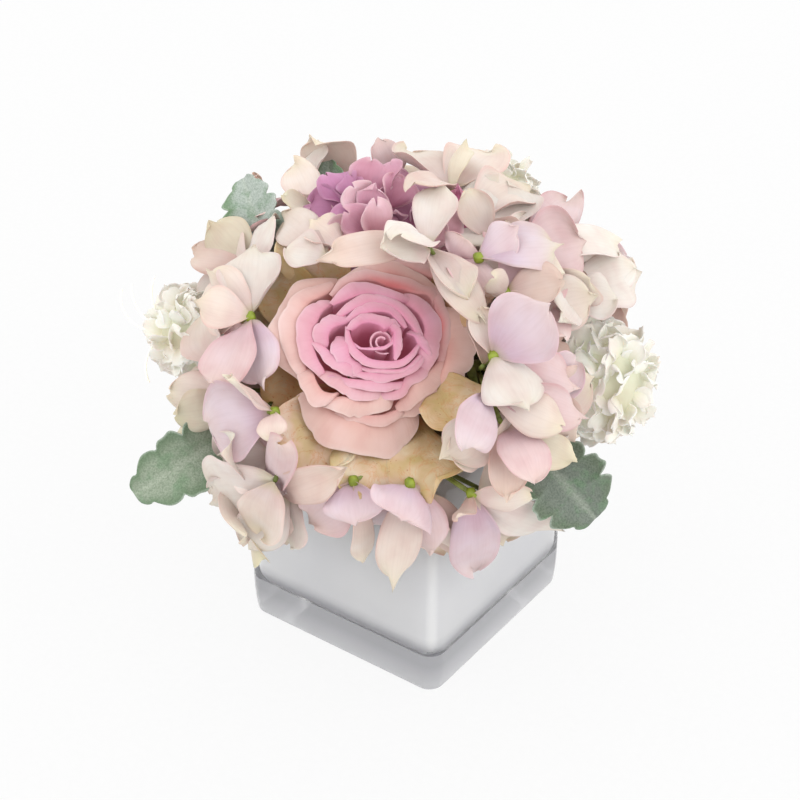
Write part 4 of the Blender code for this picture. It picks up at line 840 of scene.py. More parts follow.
def rose_solids():
    """The bloom's core, its wound bud and its rings of petals, each outside the one before it."""
    heights, radii = np.array(ROSE_CORE).T
    solids = [tube(ROSE_BASE + heights[:, None] * ROSE_AXIS, radii, 10)]
    solids.append(thicken(rose_bud(BUD_POINTS, BUD_ROWS), BLADE))
    v = np.array(ROSE_ACROSS)
    for turns, rim, height, spread, shift in ROSE_RINGS:
        s = np.array(ROSE_UP_CLOSED if rim < ROSE_OPEN_RIM else ROSE_UP_OPEN)
        for turn in turns:
            solids.append(thicken(rose_petal(turn, rim, height, spread, shift, s, v), BLADE))
    return solids


def rose_stem_path():
    """The rose's stem down its axis, through the hip, and its radii."""
    top = ROSE_BASE - ROSE_AXIS * (1.0 + GAP)
    entry = ROSE_BASE - ROSE_AXIS * ROSE_ENTRY_DROP
    foot = entry - ROSE_AXIS * ((entry[2] - STEM_FOOT) / ROSE_AXIS[2])
    path = [top - ROSE_AXIS * drop for drop in HIP_DROPS] + [entry, foot]
    return np.array(path), [*HIP_RADII, STEM_RADIUS, STEM_RADIUS]


def sepal_blades(top):
    """The sepals that stand out level under the bloom."""
    blades = []
    length, width = SEPAL_SIZE
    for number in range(SEPAL_COUNT):
        angle = math.radians(360 / SEPAL_COUNT * number + SEPAL_START)
        away = ROSE_X * math.cos(angle) + ROSE_Y * math.sin(angle)
        root = top - ROSE_AXIS * SEPAL_DROP + away * SEPAL_ROOT
        blades.append({"root": root, "tip": root + away * length - ROSE_AXIS, "width": width,
                       "outward": -ROSE_AXIS, "arch": -0.1, "plain": True})
    return blades


def square_axes(along, guide):
    """Two directions square to this one and to each other, the first square to the guide too."""
    across = unit(np.cross(along, guide))
    return across, np.cross(along, across)


def stalk_path(node, hub, eye):
    """A floret's stalk from the hub, bowed aside where the straight one would cross another node."""
    across, other = square_axes(unit(eye - hub), [0.3, 0.2, 1.0])
    paths = [[hub, eye]]
    for bow in STALK_BOWS:
        for share in STALK_SHARES:
            for turn in STALK_TURNS:
                aside = (across * math.cos(turn) + other * math.sin(turn)) * bow
                paths.append([hub, hub + (eye - hub) * share + aside, eye])
    for path in paths:
        if PLACED.crossings(node, tree_of(tube(path, PEDICEL_RADIUS + 2 * GAP, 3)))[0] == 0:
            break
    return np.array(path)


def front_petals(eye, tips):
    """The petals of a floret that the front view shows, each towards its tip."""
    petals = []
    for across, up, width, lift, roll in tips:
        tip = seen_at(across, up, lift)
        nearness = np.linalg.norm(tip - EYE) / VIEW_DISTANCE
        outward = unit(dome_normal(0.5 * (eye + tip)) + PETAL_FACING * TO_VIEWER)
        petal = {"root": eye, "tip": tip, "width": width * nearness * PETAL_WIDENING, "outward": outward,
                 "roll": roll, "plain": width < PLAIN_WIDTH}
        petals.append((petal, unit(EYE - tip)))
    return petals


def spiral_point(number, count, depth, start, lift):
    """A point of the dome, scaled by lift, on a spiral whose height falls from the top by depth."""
    z = 1.0 - depth * (number + 0.5) / count
    turn = number * GOLDEN_ANGLE + start
    flat = math.sqrt(1 - z * z)
    direction = np.array([flat * math.cos(turn), flat * math.sin(turn), z])
    return DOME_CENTRE + direction * DOME_REACH * lift


def rule_florets(taken):
    """Floret eyes over the unseen sides of the dome by the golden angle, kept apart from those taken."""
    chosen = []
    for number in range(RULE_PLACES):
        point = spiral_point(number, RULE_PLACES, RULE_DEPTH, RULE_TURN, RULE_LIFT)
        if dome_normal(point) @ TO_VIEWER > FRONT_CONE or point[2] < RULE_LOWEST:
            continue
        if all(np.linalg.norm(point - other) > distance for other, distance in taken):
            chosen.append(point)
            taken.append((point, RULE_SPACING))
    return chosen


def rule_petals(eye, number):
    """Four petals round an eye, turned by the floret's number."""
    normal = dome_normal(eye)
    across, other = square_axes(normal, [0.2, 0.1, 1.0])
    petals = []
    length, width = RULE_PETAL
    for quarter in range(4):
        angle = math.radians(90 * quarter + 37 * number)
        away = across * math.cos(angle) + other * math.sin(angle)
        tip = eye + away * length + normal * RULE_TIP_RISE
        blade = {"root": eye, "tip": tip, "width": width, "outward": normal, "plain": True}
        petals.append((blade, normal))
    return petals


def head_petal(number, count, centre, core_radii, axis, range_down):
    """Root, direction, core normal and crown of a petal that lies on a spiral round a head.

    The petal leans from the core's normal away from the crown, and more so near the crown.
    """
    crown = unit(np.asarray(axis, dtype=float))
    across, other = square_axes(crown, [1.0, 0.0, 0.0])
    z = 1.0 - range_down * (number + 0.5) / count
    turn = number * GOLDEN_ANGLE + 1.0
    flat = math.sqrt(1 - z * z)
    outwards = across * math.cos(turn) + other * math.sin(turn)
    normal = crown * z + outwards * flat
    spread = unit(normal * 0.8 - crown * 0.35 * z + outwards * 0.5)
    return centre + normal * (core_radii - ROOT_SINK), spread, normal, crown


def white_heads():
    """The white heads' centres and axes, which lean from the dome's middle towards the viewer."""
    placed = {}
    for name, head in WHITE_HEADS.items():
        centre = in_front(head[0])
        placed[name] = centre, unit(centre - DOME_CENTRE) + WHITE_HEAD_FACING * TO_VIEWER
    return placed


def leaf_blades():
    """Every leaf's blade, lobed and waved, with its entry into the foam and its foot."""
    leaves = {}
    for name, (root, tip, *shape) in FRONT_LEAVES.items():
        leaves[name] = (in_front(root), in_front(tip), *shape)
    for name, (root, tip, *shape) in BACK_LEAVES.items():
        leaves[name] = (np.array(root, dtype=float), np.array(tip, dtype=float), *shape)
    blades = {}
    for name, (root, tip, width, narrowing, entry, foot) in leaves.items():
        lean = 0.4 * TO_VIEWER if name in FRONT_LEAVES else 0.0
        outward = unit(dome_normal(0.5 * (root + tip)) + lean)
        blades[name] = {"root": root, "tip": tip, "width": width, "outward": outward, "lobes": LEAF_LOBES,
                        "arch": 0.10, "cup": 0.16, "fullness": 0.5, "narrowing": narrowing,
                        "ruffle": 0.05}, entry, foot
    return blades


# The plan: where each petal, stalk and core lies, found by the same rules as for the solids

PLAN = {}


def plan(node, kind, *facts):
    """Note a petal, stalk, eye, core or stem of a node."""
    PLAN.setdefault(node, {}).setdefault(kind, []).append(facts)


def plan_stem(node, top, entry, foot, radius, sides=5):
    """A stem down into the foam."""
    path = stem_path(top, entry, foot)
    PLACED.add(node, tube(path, radius, sides))
    plan(node, "stem", path, radius)


def plan_vase():
    """The vase's two layers, for the clearance of what hangs over the rim."""
    PLACED.add("vase_clear_glass", loft(glass_loops()))
    PLACED.add("vase_white_lining", loft(lining_shell_loops()))


def plan_petal(node, blade, slide, *dye):
    """A petal in its dye, where there is room for it."""
    settled = settle(node, blade, slide)
    if settled is not None:
        plan(node, "petal", settled, *dye)


def plan_rose():
    """The rose's solids, then its stem with the sepals."""
    for solid in rose_solids():
        PLACED.add("rose_bloom", solid)
    node = "rose_stem"
    path, radii = rose_stem_path()
    for blade in sepal_blades(path[0]):
        plan_petal(node, blade, -ROSE_AXIS)
    PLACED.add(node, tube(path, radii, 8))
    plan(node, "stem", path, radii)


def plan_petals(node, eye, petals, dyes):
    """The petals of a floret, with their roots in steps so that they lie over each other."""
    for number, (petal, slide) in enumerate(petals):
        petal["root"] = eye + slide * ROOT_STEPS[number % len(ROOT_STEPS)]
        plan_petal(node, petal, slide, dyes[number % len(dyes)])


def plan_floret(node, eye, hub, petals, dyes):
    """A floret: its stalk, its eye and its petals."""
    path = stalk_path(node, hub, eye)
    plan(node, "stalk", path)
    for solid in (tube(path, PEDICEL_RADIUS, 3), bead(eye, EYE_RADIUS)):
        PLACED.add(node, solid)
    plan(node, "eye", eye)
    plan_petals(node, eye, petals, dyes)


def plan_hydrangeas(taken):
    """Every hydrangea head, with its hub on its stem and its florets."""
    hubs = {name: np.array(head[0], dtype=float) for name, head in HYDRANGEAS.items()}
    for name, (_, entry, foot, _) in HYDRANGEAS.items():
        PLACED.add(name, ball(hubs[name], HUB_RADIUS, 4, 6))
        plan(name, "hub", hubs[name])
        plan_stem(name, hubs[name], entry, foot, STEM_RADIUS)
    for name, head in HYDRANGEAS.items():
        for (eye_seen, tips), dyes in zip(head[3], FLORET_DYES[name]):
            eye = seen_at(*eye_seen)
            taken.append((eye, FRONT_SPACING))
            plan_floret(name, eye, hubs[name], front_petals(eye, tips), dyes)
    for number, eye in enumerate(rule_florets(taken)):
        name = min(hubs, key=lambda key: np.linalg.norm(hubs[key] - eye))
        plan_floret(name, eye, hubs[name], rule_petals(eye, number), RULE_DYES[number % len(RULE_DYES)])
    return hubs


def plan_head(node, centre, core_radii, axis, rule, entry, foot):
    """A round head: its core, its stem and its petals by the golden angle."""
    count, range_down, reach, width, cup = rule
    core_radii = np.array(core_radii)
    PLACED.add(node, ball(centre, core_radii, 5, 8))
    plan(node, "core", centre, core_radii, axis, rule)
    plan_stem(node, centre, entry, foot, HEAD_STEM_RADIUS)
    for number in range(count):
        root, spread, normal, crown = head_petal(number, count, centre, core_radii, axis, range_down)
        blade = {"root": root, "tip": root + spread * (reach + ROOT_SINK), "width": width,
                 "outward": crown + normal * 0.3, "arch": -0.08, "cup": cup, "plain": cup == 0}
        plan_petal(node, blade, normal)


def plan_leaf(node, blade, entry, foot):
    """A dusty miller leaf and its stalk."""
    settled = settle(node, blade, blade["outward"])
    top = settled["root"] + unit(settled["tip"] - settled["root"]) * PETIOLE_SINK
    plan_stem(node, top, entry, foot, PETIOLE_RADIUS, 4)
    plan(node, "petal", settled)


def plan_extra_petals(hubs):
    """Thin petals that the front view shows between those of the solids."""
    for name, eye_seen, tips, dyes in EXTRA_FLORETS:
        eye = seen_at(*eye_seen)
        plan(name, "thin_stalk", np.array([hubs[name], eye]))
        plan_petals(name, eye, front_petals(eye, tips), dyes)


def plan_all():
    """Place everything in the order in which the solids were placed."""
    plan_vase()
    plan_rose()
    taken = [(ROSE_CENTRE, ROOM_ROUND_ROSE), (MAUVE_CENTRE, ROOM_ROUND_MAUVE)]
    for name, (centre, axis) in white_heads().items():
        plan_head(name, centre, WHITE_HEADS[name][1], axis, *WHITE_HEADS[name][2:])
        taken.append((centre, ROOM_ROUND_WHITE))
    plan_head("mauve_head", MAUVE_CENTRE, MAUVE_CORE, MAUVE_AXIS, MAUVE_RULE, *MAUVE_ENTRY)
    for name, (blade, entry, foot) in leaf_blades().items():
        plan_leaf(name, blade, entry, foot)
    hubs = plan_hydrangeas(taken)
    plan_extra_petals(hubs)
    return hubs


# Fine surfaces

def petal_rows(count):
    """Shares along a petal, set closer towards its tip."""
    t = np.linspace(0, 1, count)
    return 0.02 + 0.976 * (1 - (1 - t) ** 1.5)


def petal_columns(count):
    """Shares across a petal from -1 to 1, set closer towards its edges."""
    return np.sin(np.linspace(-np.pi / 2, np.pi / 2, count))


def petal_sheet(blade, rows, columns, rng, waves=1.0):
    """The solid's blade with the detail of a pressed cloth petal.

    Its midline runs on to a small point as u^8, its midrib is creased, its edges roll by the square
    of the distance past six tenths of the half width, its end bends by u^5, and two slow waves run
    along each side.
    """
    u = petal_rows(rows)
    v = petal_columns(columns)
    ahead, _, face = blade_axes(blade)
    length = np.linalg.norm(blade["tip"] - blade["root"])
    width = blade["width"]
    u_grid, v_grid = np.meshgrid(u, v, indexing="ij")
    phases = rng.uniform(0, 2 * np.pi, 4)
    curls = rng.uniform(-1, 1, 2)
    edge = np.abs(v_grid)
    over = np.clip((edge - 0.60) / 0.40, 0, 1)
    rise = waves * width * 0.045 * v_grid ** 2 * np.sin(5.5 * u_grid + phases[0] + 1.5 * v_grid)
    rise += waves * width * 0.020 * edge ** 3 * np.sin(13 * u_grid + phases[1] - 2 * v_grid)
    rise -= width * 0.018 * np.exp(-(v_grid / 0.10) ** 2) * np.sin(np.pi * u_grid)
    curl = np.where(v_grid < 0, curls[0], curls[1])
    rise += width * 0.20 * curl * over ** 2 * np.sin(np.pi * u_grid)
    rise += length * 0.08 * rng.uniform(-1, 0.6) * u_grid ** 5
    rise += waves * length * 0.05 * np.sin(2.2 * v_grid + phases[2]) * u_grid ** 4
    point = length * 0.07 * (1 - edge) ** 2 * u_grid ** 8
    nick = length * 0.03 * np.sin(4.0 * v_grid + phases[3]) * u_grid ** 6 * waves
    return (blade_sheet(u, v, blade) + face * rise[..., None]
            + ahead * (point + nick)[..., None])


def mix(first, second, share):
    """Two colours, or grids of colours, mixed by a grid of shares."""
    return first * (1 - share[..., None]) + second * share[..., None]


def smooth(low, high, value):
    """A share that runs smoothly from 0 at low to 1 at high."""
    t = np.clip((value - low) / (high - low), 0, 1)
    return t * t * (3 - 2 * t)


def linear(code):
    """An sRGB hex colour as linear red, green and blue."""
    parts = np.array([int(code[i:i + 2], 16) for i in (1, 3, 5)]) / 255
    return np.where(parts <= 0.04045, parts / 12.92, ((parts + 0.055) / 1.055) ** 2.4)


# Dyes of the hydrangea cloth: towards the eye, over the face, at the tip and along the edge
DYES = {
    "w": ("#f0e2de", "#f8f1ea", "#f7f0e0", "#f4dedb"),
    "c": ("#eed8d4", "#f8eae0", "#f6edd4", "#f3d5cd"),
    "l": ("#dec2d4", "#eddae2", "#f3e2e1", "#edcdd6"),
    "p": ("#e7c4ce", "#f4dadc", "#f6e0d9", "#ecbdc2"),
    "y": ("#e4dac7", "#efe6d2", "#eae6c5", "#e4d6bb"),
    # t: tan, partly painted shade on petals that lie in shade
    "t": ("#e4c4be", "#f2dcd2", "#f2e1d1", "#e6c2b7"),
    "b": ("#dcc3d8", "#eddde4", "#efe9cb", "#e9d3d0"),
    # d: darker and browner, painted shade for the deepest florets
    "d": ("#d1b3a9", "#e6cdc2", "#e7d3c2", "#d9b9ac"),
}
DYES = {key: [linear(code) for code in codes] for key, codes in DYES.items()}


def hydrangea_tint(dye, grid, rng):
    """The tint of a petal over its grid: from the eye, darker there partly as painted shade, to the tip, with
    a stained edge.
    """
    eye, face, tip, edge = DYES[dye]
    u, v = petal_grid(grid)
    stain = rng.uniform(0.35, 0.9)
    # Darker and warmer towards the eye: partly the dye, partly painted shade near the root
    tint = mix(eye, face, smooth(0.05, 0.5 + rng.uniform(-0.1, 0.15), u))
    tint = mix(tint, tip, smooth(0.55, 1.0, u) * 0.85)
    tint = mix(tint, edge, smooth(0.84, 1.0, np.abs(v)) * stain)
    tint = mix(tint, linear("#b5b36a"), (1 - smooth(0.0, 0.14, u)) * 0.5)
    return tint * rng.uniform(0.64, 0.76)


# Meshes

def closed_sheet(sheet, thickness, tint, slot=0):
    """A thin closed petal: an upper and a lower face that meet along the petal's outline.

    The thickness falls to nothing at the outline, whose edges are marked sharp as cut cloth is.
    """
    rows, columns = sheet.shape[:2]
    inside = np.zeros((rows, columns), bool)
    inside[1:-1, 1:-1] = True
    offset = sheet_normals(sheet) * (thickness / 2) * inside[..., None]
    upper = np.arange(rows * columns).reshape(rows, columns)
    lower = upper.copy()
    lower[inside] = rows * columns + np.arange(inside.sum())
    points = np.concatenate([(sheet + offset).reshape(-1, 3), (sheet - offset)[inside]])

    def quads(index):
        """The faces between the rows and columns of a grid of point numbers."""
        corners = [index[:-1, :-1], index[1:, :-1], index[1:, 1:], index[:-1, 1:]]
        return np.stack(corners, axis=-1).reshape(-1, 4)

    faces = np.concatenate([quads(upper), quads(lower)[:, ::-1]]).tolist()
    uv = np.stack(np.meshgrid(np.linspace(0, 1, rows), np.linspace(0, 1, columns), indexing="ij"), axis=-1)
    tint = np.broadcast_to(tint, (rows, columns, 3))
    outline = np.concatenate([~inside.ravel(), np.zeros(inside.sum(), bool)])
    return (points, faces, np.concatenate([uv.reshape(-1, 2), uv[inside]]),
            np.concatenate([tint.reshape(-1, 3), tint[inside]]), slot, outline)


def closed_round(rings, tint, slot=0):
    """A closed body from rings of points: first and last ring are drawn to their own middles."""
    rows, sides = rings.shape[:2]
    poles = [rings[0].mean(axis=0)[None], rings[-1].mean(axis=0)[None]]
    points = np.concatenate([rings.reshape(-1, 3), *poles])
    row_share = np.repeat(np.linspace(0, 1, rows), sides)
    uv = np.column_stack([row_share, np.tile(np.linspace(0, 1, sides), rows)])
    uv = np.concatenate([uv, [[0, 0.5], [1, 0.5]]])
    tint = np.broadcast_to(tint, (len(points), 3))
    return points, round_faces(rows, sides), uv, tint, slot, np.zeros(len(points), bool)


def fine_tube(path, radii, sides, tint, slot=0):
    """A round stalk: circles square to the path, whose points are smoothed first."""
    path = smoothed(np.asarray(path, dtype=float))
    radii = np.atleast_1d(radii)
    radii = np.interp(np.linspace(0, 1, len(path)), np.linspace(0, 1, len(radii)), radii)
    return closed_round(circles(path, radii, sides), tint, slot)


def smoothed(path):
    """A path with its corners rounded by two cuts of each corner at a quarter."""
    for _ in range(2):
        if len(path) < 3:
            return path
        near = path[:-1] * 0.75 + path[1:] * 0.25
        far = path[:-1] * 0.25 + path[1:] * 0.75
        cut = np.stack([near, far], axis=1).reshape(-1, 3)
        path = np.concatenate([path[:1], cut[1:-1], path[-1:]])
    return path


def fine_ball(centre, radii, tint, slot=0, lobes=0, rows=9, sides=12):
    """A round body, with a waist between each two lobes where it has lobes."""
    rings = globe(np.linspace(0.12, np.pi - 0.12, rows), sides, lobes)
    return closed_round((rings * np.broadcast_to(radii, 3) + centre)[::-1], tint, slot)


def make_piece(name, parts, surfaces, replaced):
    """One shown piece from its parts, with their map, their tint and their materials."""
    points = np.concatenate([part[0] for part in parts])
    starts = np.cumsum([0] + [len(part[0]) for part in parts[:-1]])
    faces = [[index + start for index in face]
             for part, start in zip(parts, starts.tolist()) for face in part[1]]
    uv = np.concatenate([part[2] for part in parts])
    tint = np.concatenate([part[3] for part in parts])
    slots = np.concatenate([np.full(len(part[1]), part[4]) for part in parts])
    mesh = bpy.data.meshes.new(name)
    mesh.from_pydata(((points - FOOT) * METRES_PER_MM).tolist(), [], faces)
    corner = np.zeros(len(mesh.loops), np.int32)
    mesh.loops.foreach_get("vertex_index", corner)
    mesh.uv_layers.new(name="petal_map").data.foreach_set("uv", uv[corner].astype(np.float32).ravel())
    dye = mesh.color_attributes.new("tint", "FLOAT_COLOR", "POINT")
    dye.data.foreach_set("color", np.column_stack([tint, np.ones(len(tint))]).astype(np.float32).ravel())
    for surface in surfaces:
        mesh.materials.append(surface)
    mesh.polygons.foreach_set("material_index", slots.astype(np.int32))
    mesh.polygons.foreach_set("use_smooth", np.ones(len(mesh.polygons), bool))
    ends = np.zeros(2 * len(mesh.edges), np.int32)
    mesh.edges.foreach_get("vertices", ends)
    outline = np.concatenate([part[5] for part in parts])[ends].reshape(-1, 2).all(axis=1)
    mesh.attributes.new("sharp_edge", "BOOLEAN", "EDGE").data.foreach_set("value", outline)
    mesh.update()
    made = bpy.data.objects.new(name, mesh)
    bpy.context.scene.collection.objects.link(made)
    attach(made, "root")
    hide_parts(*replaced)
    return made


# Materials

RAMP = "ShaderNodeValToRGB"
MIX = "ShaderNodeMix"
BLEND = {"output": 2, "data_type": "RGBA", "blend_type": "MIX"}
MULTIPLY = {"output": 2, "data_type": "RGBA", "blend_type": "MULTIPLY"}
DYE = {"kind": "ShaderNodeAttribute", "attribute_name": "tint"}
PETAL_MAP = {"kind": "ShaderNodeUVMap", "uv_map": "petal_map"}


def opaque(code):
    """An sRGB hex colour as linear red, green and blue with full cover."""
    return (*linear(code), 1.0)


def feed(tree, node, inputs):
    """Give each input of a node its value, or the output that feeds it."""
    for name, value in inputs.items():
        if isinstance(value, bpy.types.NodeSocket):
            tree.links.new(value, node.inputs[name])
        else:
            node.inputs[name].default_value = value


def add_node(tree, kind, inputs=None, output=0, stops=(), **settings):
    """Add a node with its settings, its inputs and a ramp's stops, and give one of its outputs."""
    made = tree.nodes.new(kind)
    for name, value in settings.items():
        setattr(made, name, value)
    feed(tree, made, inputs or {})
    if stops:
        band = made.color_ramp.elements
        while len(band) < len(stops):
            band.new(0.5)
        for element, (position, code) in zip(band, stops):
            element.position = position
            element.color = opaque(code)
    return made.outputs[output]


def new_surface(name):
    """An empty material: its tree and its Principled shader."""
    made = bpy.data.materials.new(name)
    made.use_nodes = True
    return made, made.node_tree, made.node_tree.nodes["Principled BSDF"]


def per_metre(spacing_mm):
    """The scale of a pattern on Object coordinates from its spacing in millimetres."""
    return 1000.0 / spacing_mm


def grain(tree, spacing_mm, detail=2.0, roughness=0.5):
    """Uneven grain in the object's own coordinates, with features of about this spacing."""
    place = add_node(tree, "ShaderNodeTexCoord", output="Object")
    return add_node(tree, "ShaderNodeTexNoise", {"Vector": place, "Scale": per_metre(spacing_mm),
                                                 "Detail": detail, "Roughness": roughness})


def pressed_veins(tree, across):
    """Streaks that run the length of a petal, this many across it."""
    petal_map = add_node(tree, **PETAL_MAP)
    stretched = add_node(tree, "ShaderNodeMapping", {"Vector": petal_map, "Scale": (1.6, across, 1.0)})
    return add_node(tree, "ShaderNodeTexNoise", {"Vector": stretched, "Scale": 1.0, "Detail": 3.0,
                                                 "Roughness": 0.6})


def petal_cloth(name, veins, vein_depth, roughness, softness, painted_glow, streak_tone="#8c6a66"):
    """Dyed polyester cloth, cut and heat pressed: matt, a little translucent, with pressed veins.

    The dye, with such painted shade and highlight as a piece's tint carries, is in the mesh's tint; the
    streaks and a slow mottle are what brushed dye leaves. A faint painted glow of its own colour stands for
    what thin petals pass on to each other and lifts the shade in the gaps.
    """
    made, tree, shader = new_surface(name)
    tint = add_node(tree, **DYE)
    streaks = pressed_veins(tree, veins)
    line = add_node(tree, RAMP, {"Fac": streaks}, stops=((0.46, "#000000"), (0.62, "#ffffff")))
    veined = add_node(tree, MIX, {0: 0.05, 6: tint, 7: opaque(streak_tone)}, **MULTIPLY)
    colour = add_node(tree, MIX, {0: line, 6: tint, 7: veined}, **BLEND)
    mottle = add_node(tree, RAMP, {"Fac": grain(tree, 11.0)},
                      stops=((0.30, "#f6ebe9"), (0.5, "#fcf8f5"), (0.7, "#ffffff")))
    colour = add_node(tree, MIX, {0: 1.0, 6: colour, 7: mottle}, **MULTIPLY)
    pressed = add_node(tree, "ShaderNodeBump", {"Height": streaks, "Strength": vein_depth,
                                                "Distance": 0.0004})
    woven = add_node(tree, "ShaderNodeBump", {"Height": grain(tree, 0.45, 1.0), "Strength": 0.12,
                                              "Distance": 0.0002, "Normal": pressed})
    # Emission is a painted glow of the petal's own colour that lifts its shade
    feed(tree, shader, {
        "Base Color": colour, "Normal": woven, "Roughness": roughness, "Specular IOR Level": 0.25,
        "Subsurface Weight": softness, "Subsurface Radius": (1.0, 0.75, 0.7), "Subsurface Scale": 0.0005,
        "Sheen Weight": 0.10, "Emission Color": colour, "Emission Strength": painted_glow})
    return made


def guard_cloth():
    """The rose's outer petals: the same cloth, dyed ochre with rust-brown veins and specks."""
    made, tree, shader = new_surface("ochre_dyed_petal_cloth")
    tint = add_node(tree, **DYE)
    warped = add_node(tree, "ShaderNodeTexNoise", {"Vector": add_node(tree, **PETAL_MAP), "Scale": 3.5,
                                                   "Detail": 5.0, "Roughness": 0.65, "Distortion": 0.8})
    veins = add_node(tree, RAMP, {"Fac": warped},
                     stops=((0.475, "#000000"), (0.5, "#ffffff"), (0.525, "#000000")))
    veined = add_node(tree, MIX, {0: 0.35, 6: tint, 7: opaque("#cf8a55")}, **BLEND)
    colour = add_node(tree, MIX, {0: veins, 6: tint, 7: veined}, **BLEND)
    specks = add_node(tree, RAMP, {"Fac": grain(tree, 1.3, 1.0)},
                      stops=((0.70, "#000000"), (0.76, "#ffffff")))
    specked = add_node(tree, MIX, {0: 0.5, 6: colour, 7: opaque("#a8583a")}, **BLEND)
    colour = add_node(tree, MIX, {0: specks, 6: colour, 7: specked}, **BLEND)
    wash = add_node(tree, RAMP, {"Fac": grain(tree, 10.0)},
                    stops=((0.35, "#e6dbb4"), (0.5, "#f6e6d8"), (0.65, "#ffffff")))
    colour = add_node(tree, MIX, {0: 0.9, 6: colour, 7: wash}, **MULTIPLY)
    bump = add_node(tree, "ShaderNodeBump", {"Height": warped, "Strength": 0.5, "Distance": 0.0012})
    feed(tree, shader, {
        "Base Color": colour, "Normal": bump, "Roughness": 0.6, "Specular IOR Level": 0.25,
        "Subsurface Weight": 0.3, "Subsurface Radius": (1.0, 0.7, 0.5), "Subsurface Scale": 0.0005})
    return made


def flocked_leaf():
    """Leaf cloth flocked with short grey fibre: powdery, with green where the flock is thin."""
    made, tree, shader = new_surface("flocked_leaf_cloth")
    tint = add_node(tree, **DYE)
    thin = add_node(tree, RAMP, {"Fac": grain(tree, 7.0, 3.0, 0.6)},
                    stops=((0.50, "#000000"), (0.66, "#ffffff")))
    bare = add_node(tree, MIX, {0: 0.50, 6: tint, 7: opaque("#6d8f6b")}, **BLEND)
    colour = add_node(tree, MIX, {0: thin, 6: tint, 7: bare}, **BLEND)
    fibre = grain(tree, 0.7, 3.0, 0.7)
    powder = add_node(tree, RAMP, {"Fac": fibre}, stops=((0.35, "#bcc4bc"), (0.62, "#ffffff")))
    colour = add_node(tree, MIX, {0: 0.75, 6: colour, 7: powder}, **MULTIPLY)
    bump = add_node(tree, "ShaderNodeBump", {"Height": fibre, "Strength": 0.55, "Distance": 0.0005})
    feed(tree, shader, {
        "Base Color": colour, "Normal": bump, "Roughness": 0.95, "Specular IOR Level": 0.1,
        "Sheen Weight": 0.35, "Sheen Roughness": 0.5})
    return made


def moulded_stem():
    """Moulded green plastic of stalks, eyes and sepals: satin, with a fine grain."""
    made, tree, shader = new_surface("moulded_green_stem")
    shade = add_node(tree, RAMP, {"Fac": grain(tree, 2.5)}, stops=((0.3, "#c9c9b0"), (0.7, "#ffffff")))
    colour = add_node(tree, MIX, {0: 1.0, 6: add_node(tree, **DYE), 7: shade}, **MULTIPLY)
    bump = add_node(tree, "ShaderNodeBump", {"Height": grain(tree, 0.8), "Strength": 0.3,
                                             "Distance": 0.0003})
    feed(tree, shader, {"Base Color": colour, "Normal": bump, "Roughness": 0.5})
    return made


def height_share(tree, top_mm):
    """The height above the foot as a share of this one."""
    place = add_node(tree, "ShaderNodeTexCoord", output="Object")
    height = add_node(tree, "ShaderNodeSeparateXYZ", {"Vector": place}, output="Z")
    return add_node(tree, "ShaderNodeMapRange", {"Value": height, "From Max": top_mm * METRES_PER_MM})


def pressed_glass(name, clearness, low_shade, high_shade):
    """Thick soda-lime glass, pressed: clear in the walls, duller in its heavy foot, whose grey is painted
    shade that darkens upwards towards the white layer.
    """
    made, tree, shader = new_surface(name)
    # Painted shade by height: grey in the foot that darkens upwards, near white in the walls
    tone = add_node(tree, RAMP, {"Fac": height_share(tree, 15.0)}, stops=((0.1, low_shade), (0.9, high_shade)))
    cloud = add_node(tree, RAMP, {"Fac": grain(tree, 30.0)}, stops=((0.3, "#fafafa"), (0.7, "#ffffff")))
    colour = add_node(tree, MIX, {0: 1.0, 6: tone, 7: cloud}, **MULTIPLY)
    feed(tree, shader, {
        "Base Color": colour, "Transmission Weight": clearness, "IOR": 1.5, "Roughness": 0.02})
    return made


def opal_glass():
    """Opaque white glass cased in the clear one: cool white and glossy, with the painted highlight along its
    corners that its tint carries and painted shade that greys it towards its foot.
    """
    made, tree, shader = new_surface("opal_white_glass")
    cloud = add_node(tree, RAMP, {"Fac": grain(tree, 40.0)}, stops=((0.3, "#fafafc"), (0.7, "#ffffff")))
    # Painted shade: the white layer greys towards its foot
    shade = add_node(tree, RAMP, {"Fac": height_share(tree, 30.0)},
                     stops=((0.58, "#e0e0e3"), (0.85, "#ffffff")))
    cloud = add_node(tree, MIX, {0: 1.0, 6: cloud, 7: shade}, **MULTIPLY)
    colour = add_node(tree, MIX, {0: 1.0, 6: add_node(tree, **DYE), 7: cloud}, **MULTIPLY)
    feed(tree, shader, {"Base Color": colour, "Roughness": 0.25})
    return made


def floral_foam():
    """Dry floral foam, crumbly: its dark olive brown is partly its own colour and partly painted shade of the
    gaps between the blooms.
    """
    made, tree, shader = new_surface("floral_foam_with_painted_shade")
    crumbs = grain(tree, 2.2, 6.0, 0.7)
    # Dark olive browns: partly the foam's colour, partly painted shade in the gaps
    colour = add_node(tree, RAMP, {"Fac": crumbs},
                      stops=((0.30, "#2a2115"), (0.50, "#4d3f26"), (0.68, "#6c6a3c")))
    bump = add_node(tree, "ShaderNodeBump", {"Height": crumbs, "Strength": 0.9, "Distance": 0.002})
    feed(tree, shader, {"Base Color": colour, "Normal": bump, "Roughness": 0.95})
    return made


def light_table():
    """White acrylic lit softly from beneath: an even pale floor that keeps the shadows faint."""
    made, tree, shader = new_surface("opal_acrylic_light_table")
    colour = add_node(tree, RAMP, {"Fac": grain(tree, 3.0)}, stops=((0.3, "#464646"), (0.7, "#4a4a4a")))
    feed(tree, shader, {
        "Base Color": colour, "Roughness": 0.9, "Specular IOR Level": 0.1,
        "Emission Color": (1.0, 1.0, 1.0, 1.0), "Emission Strength": TABLE_GLOW})
    return made


# Hydrangea

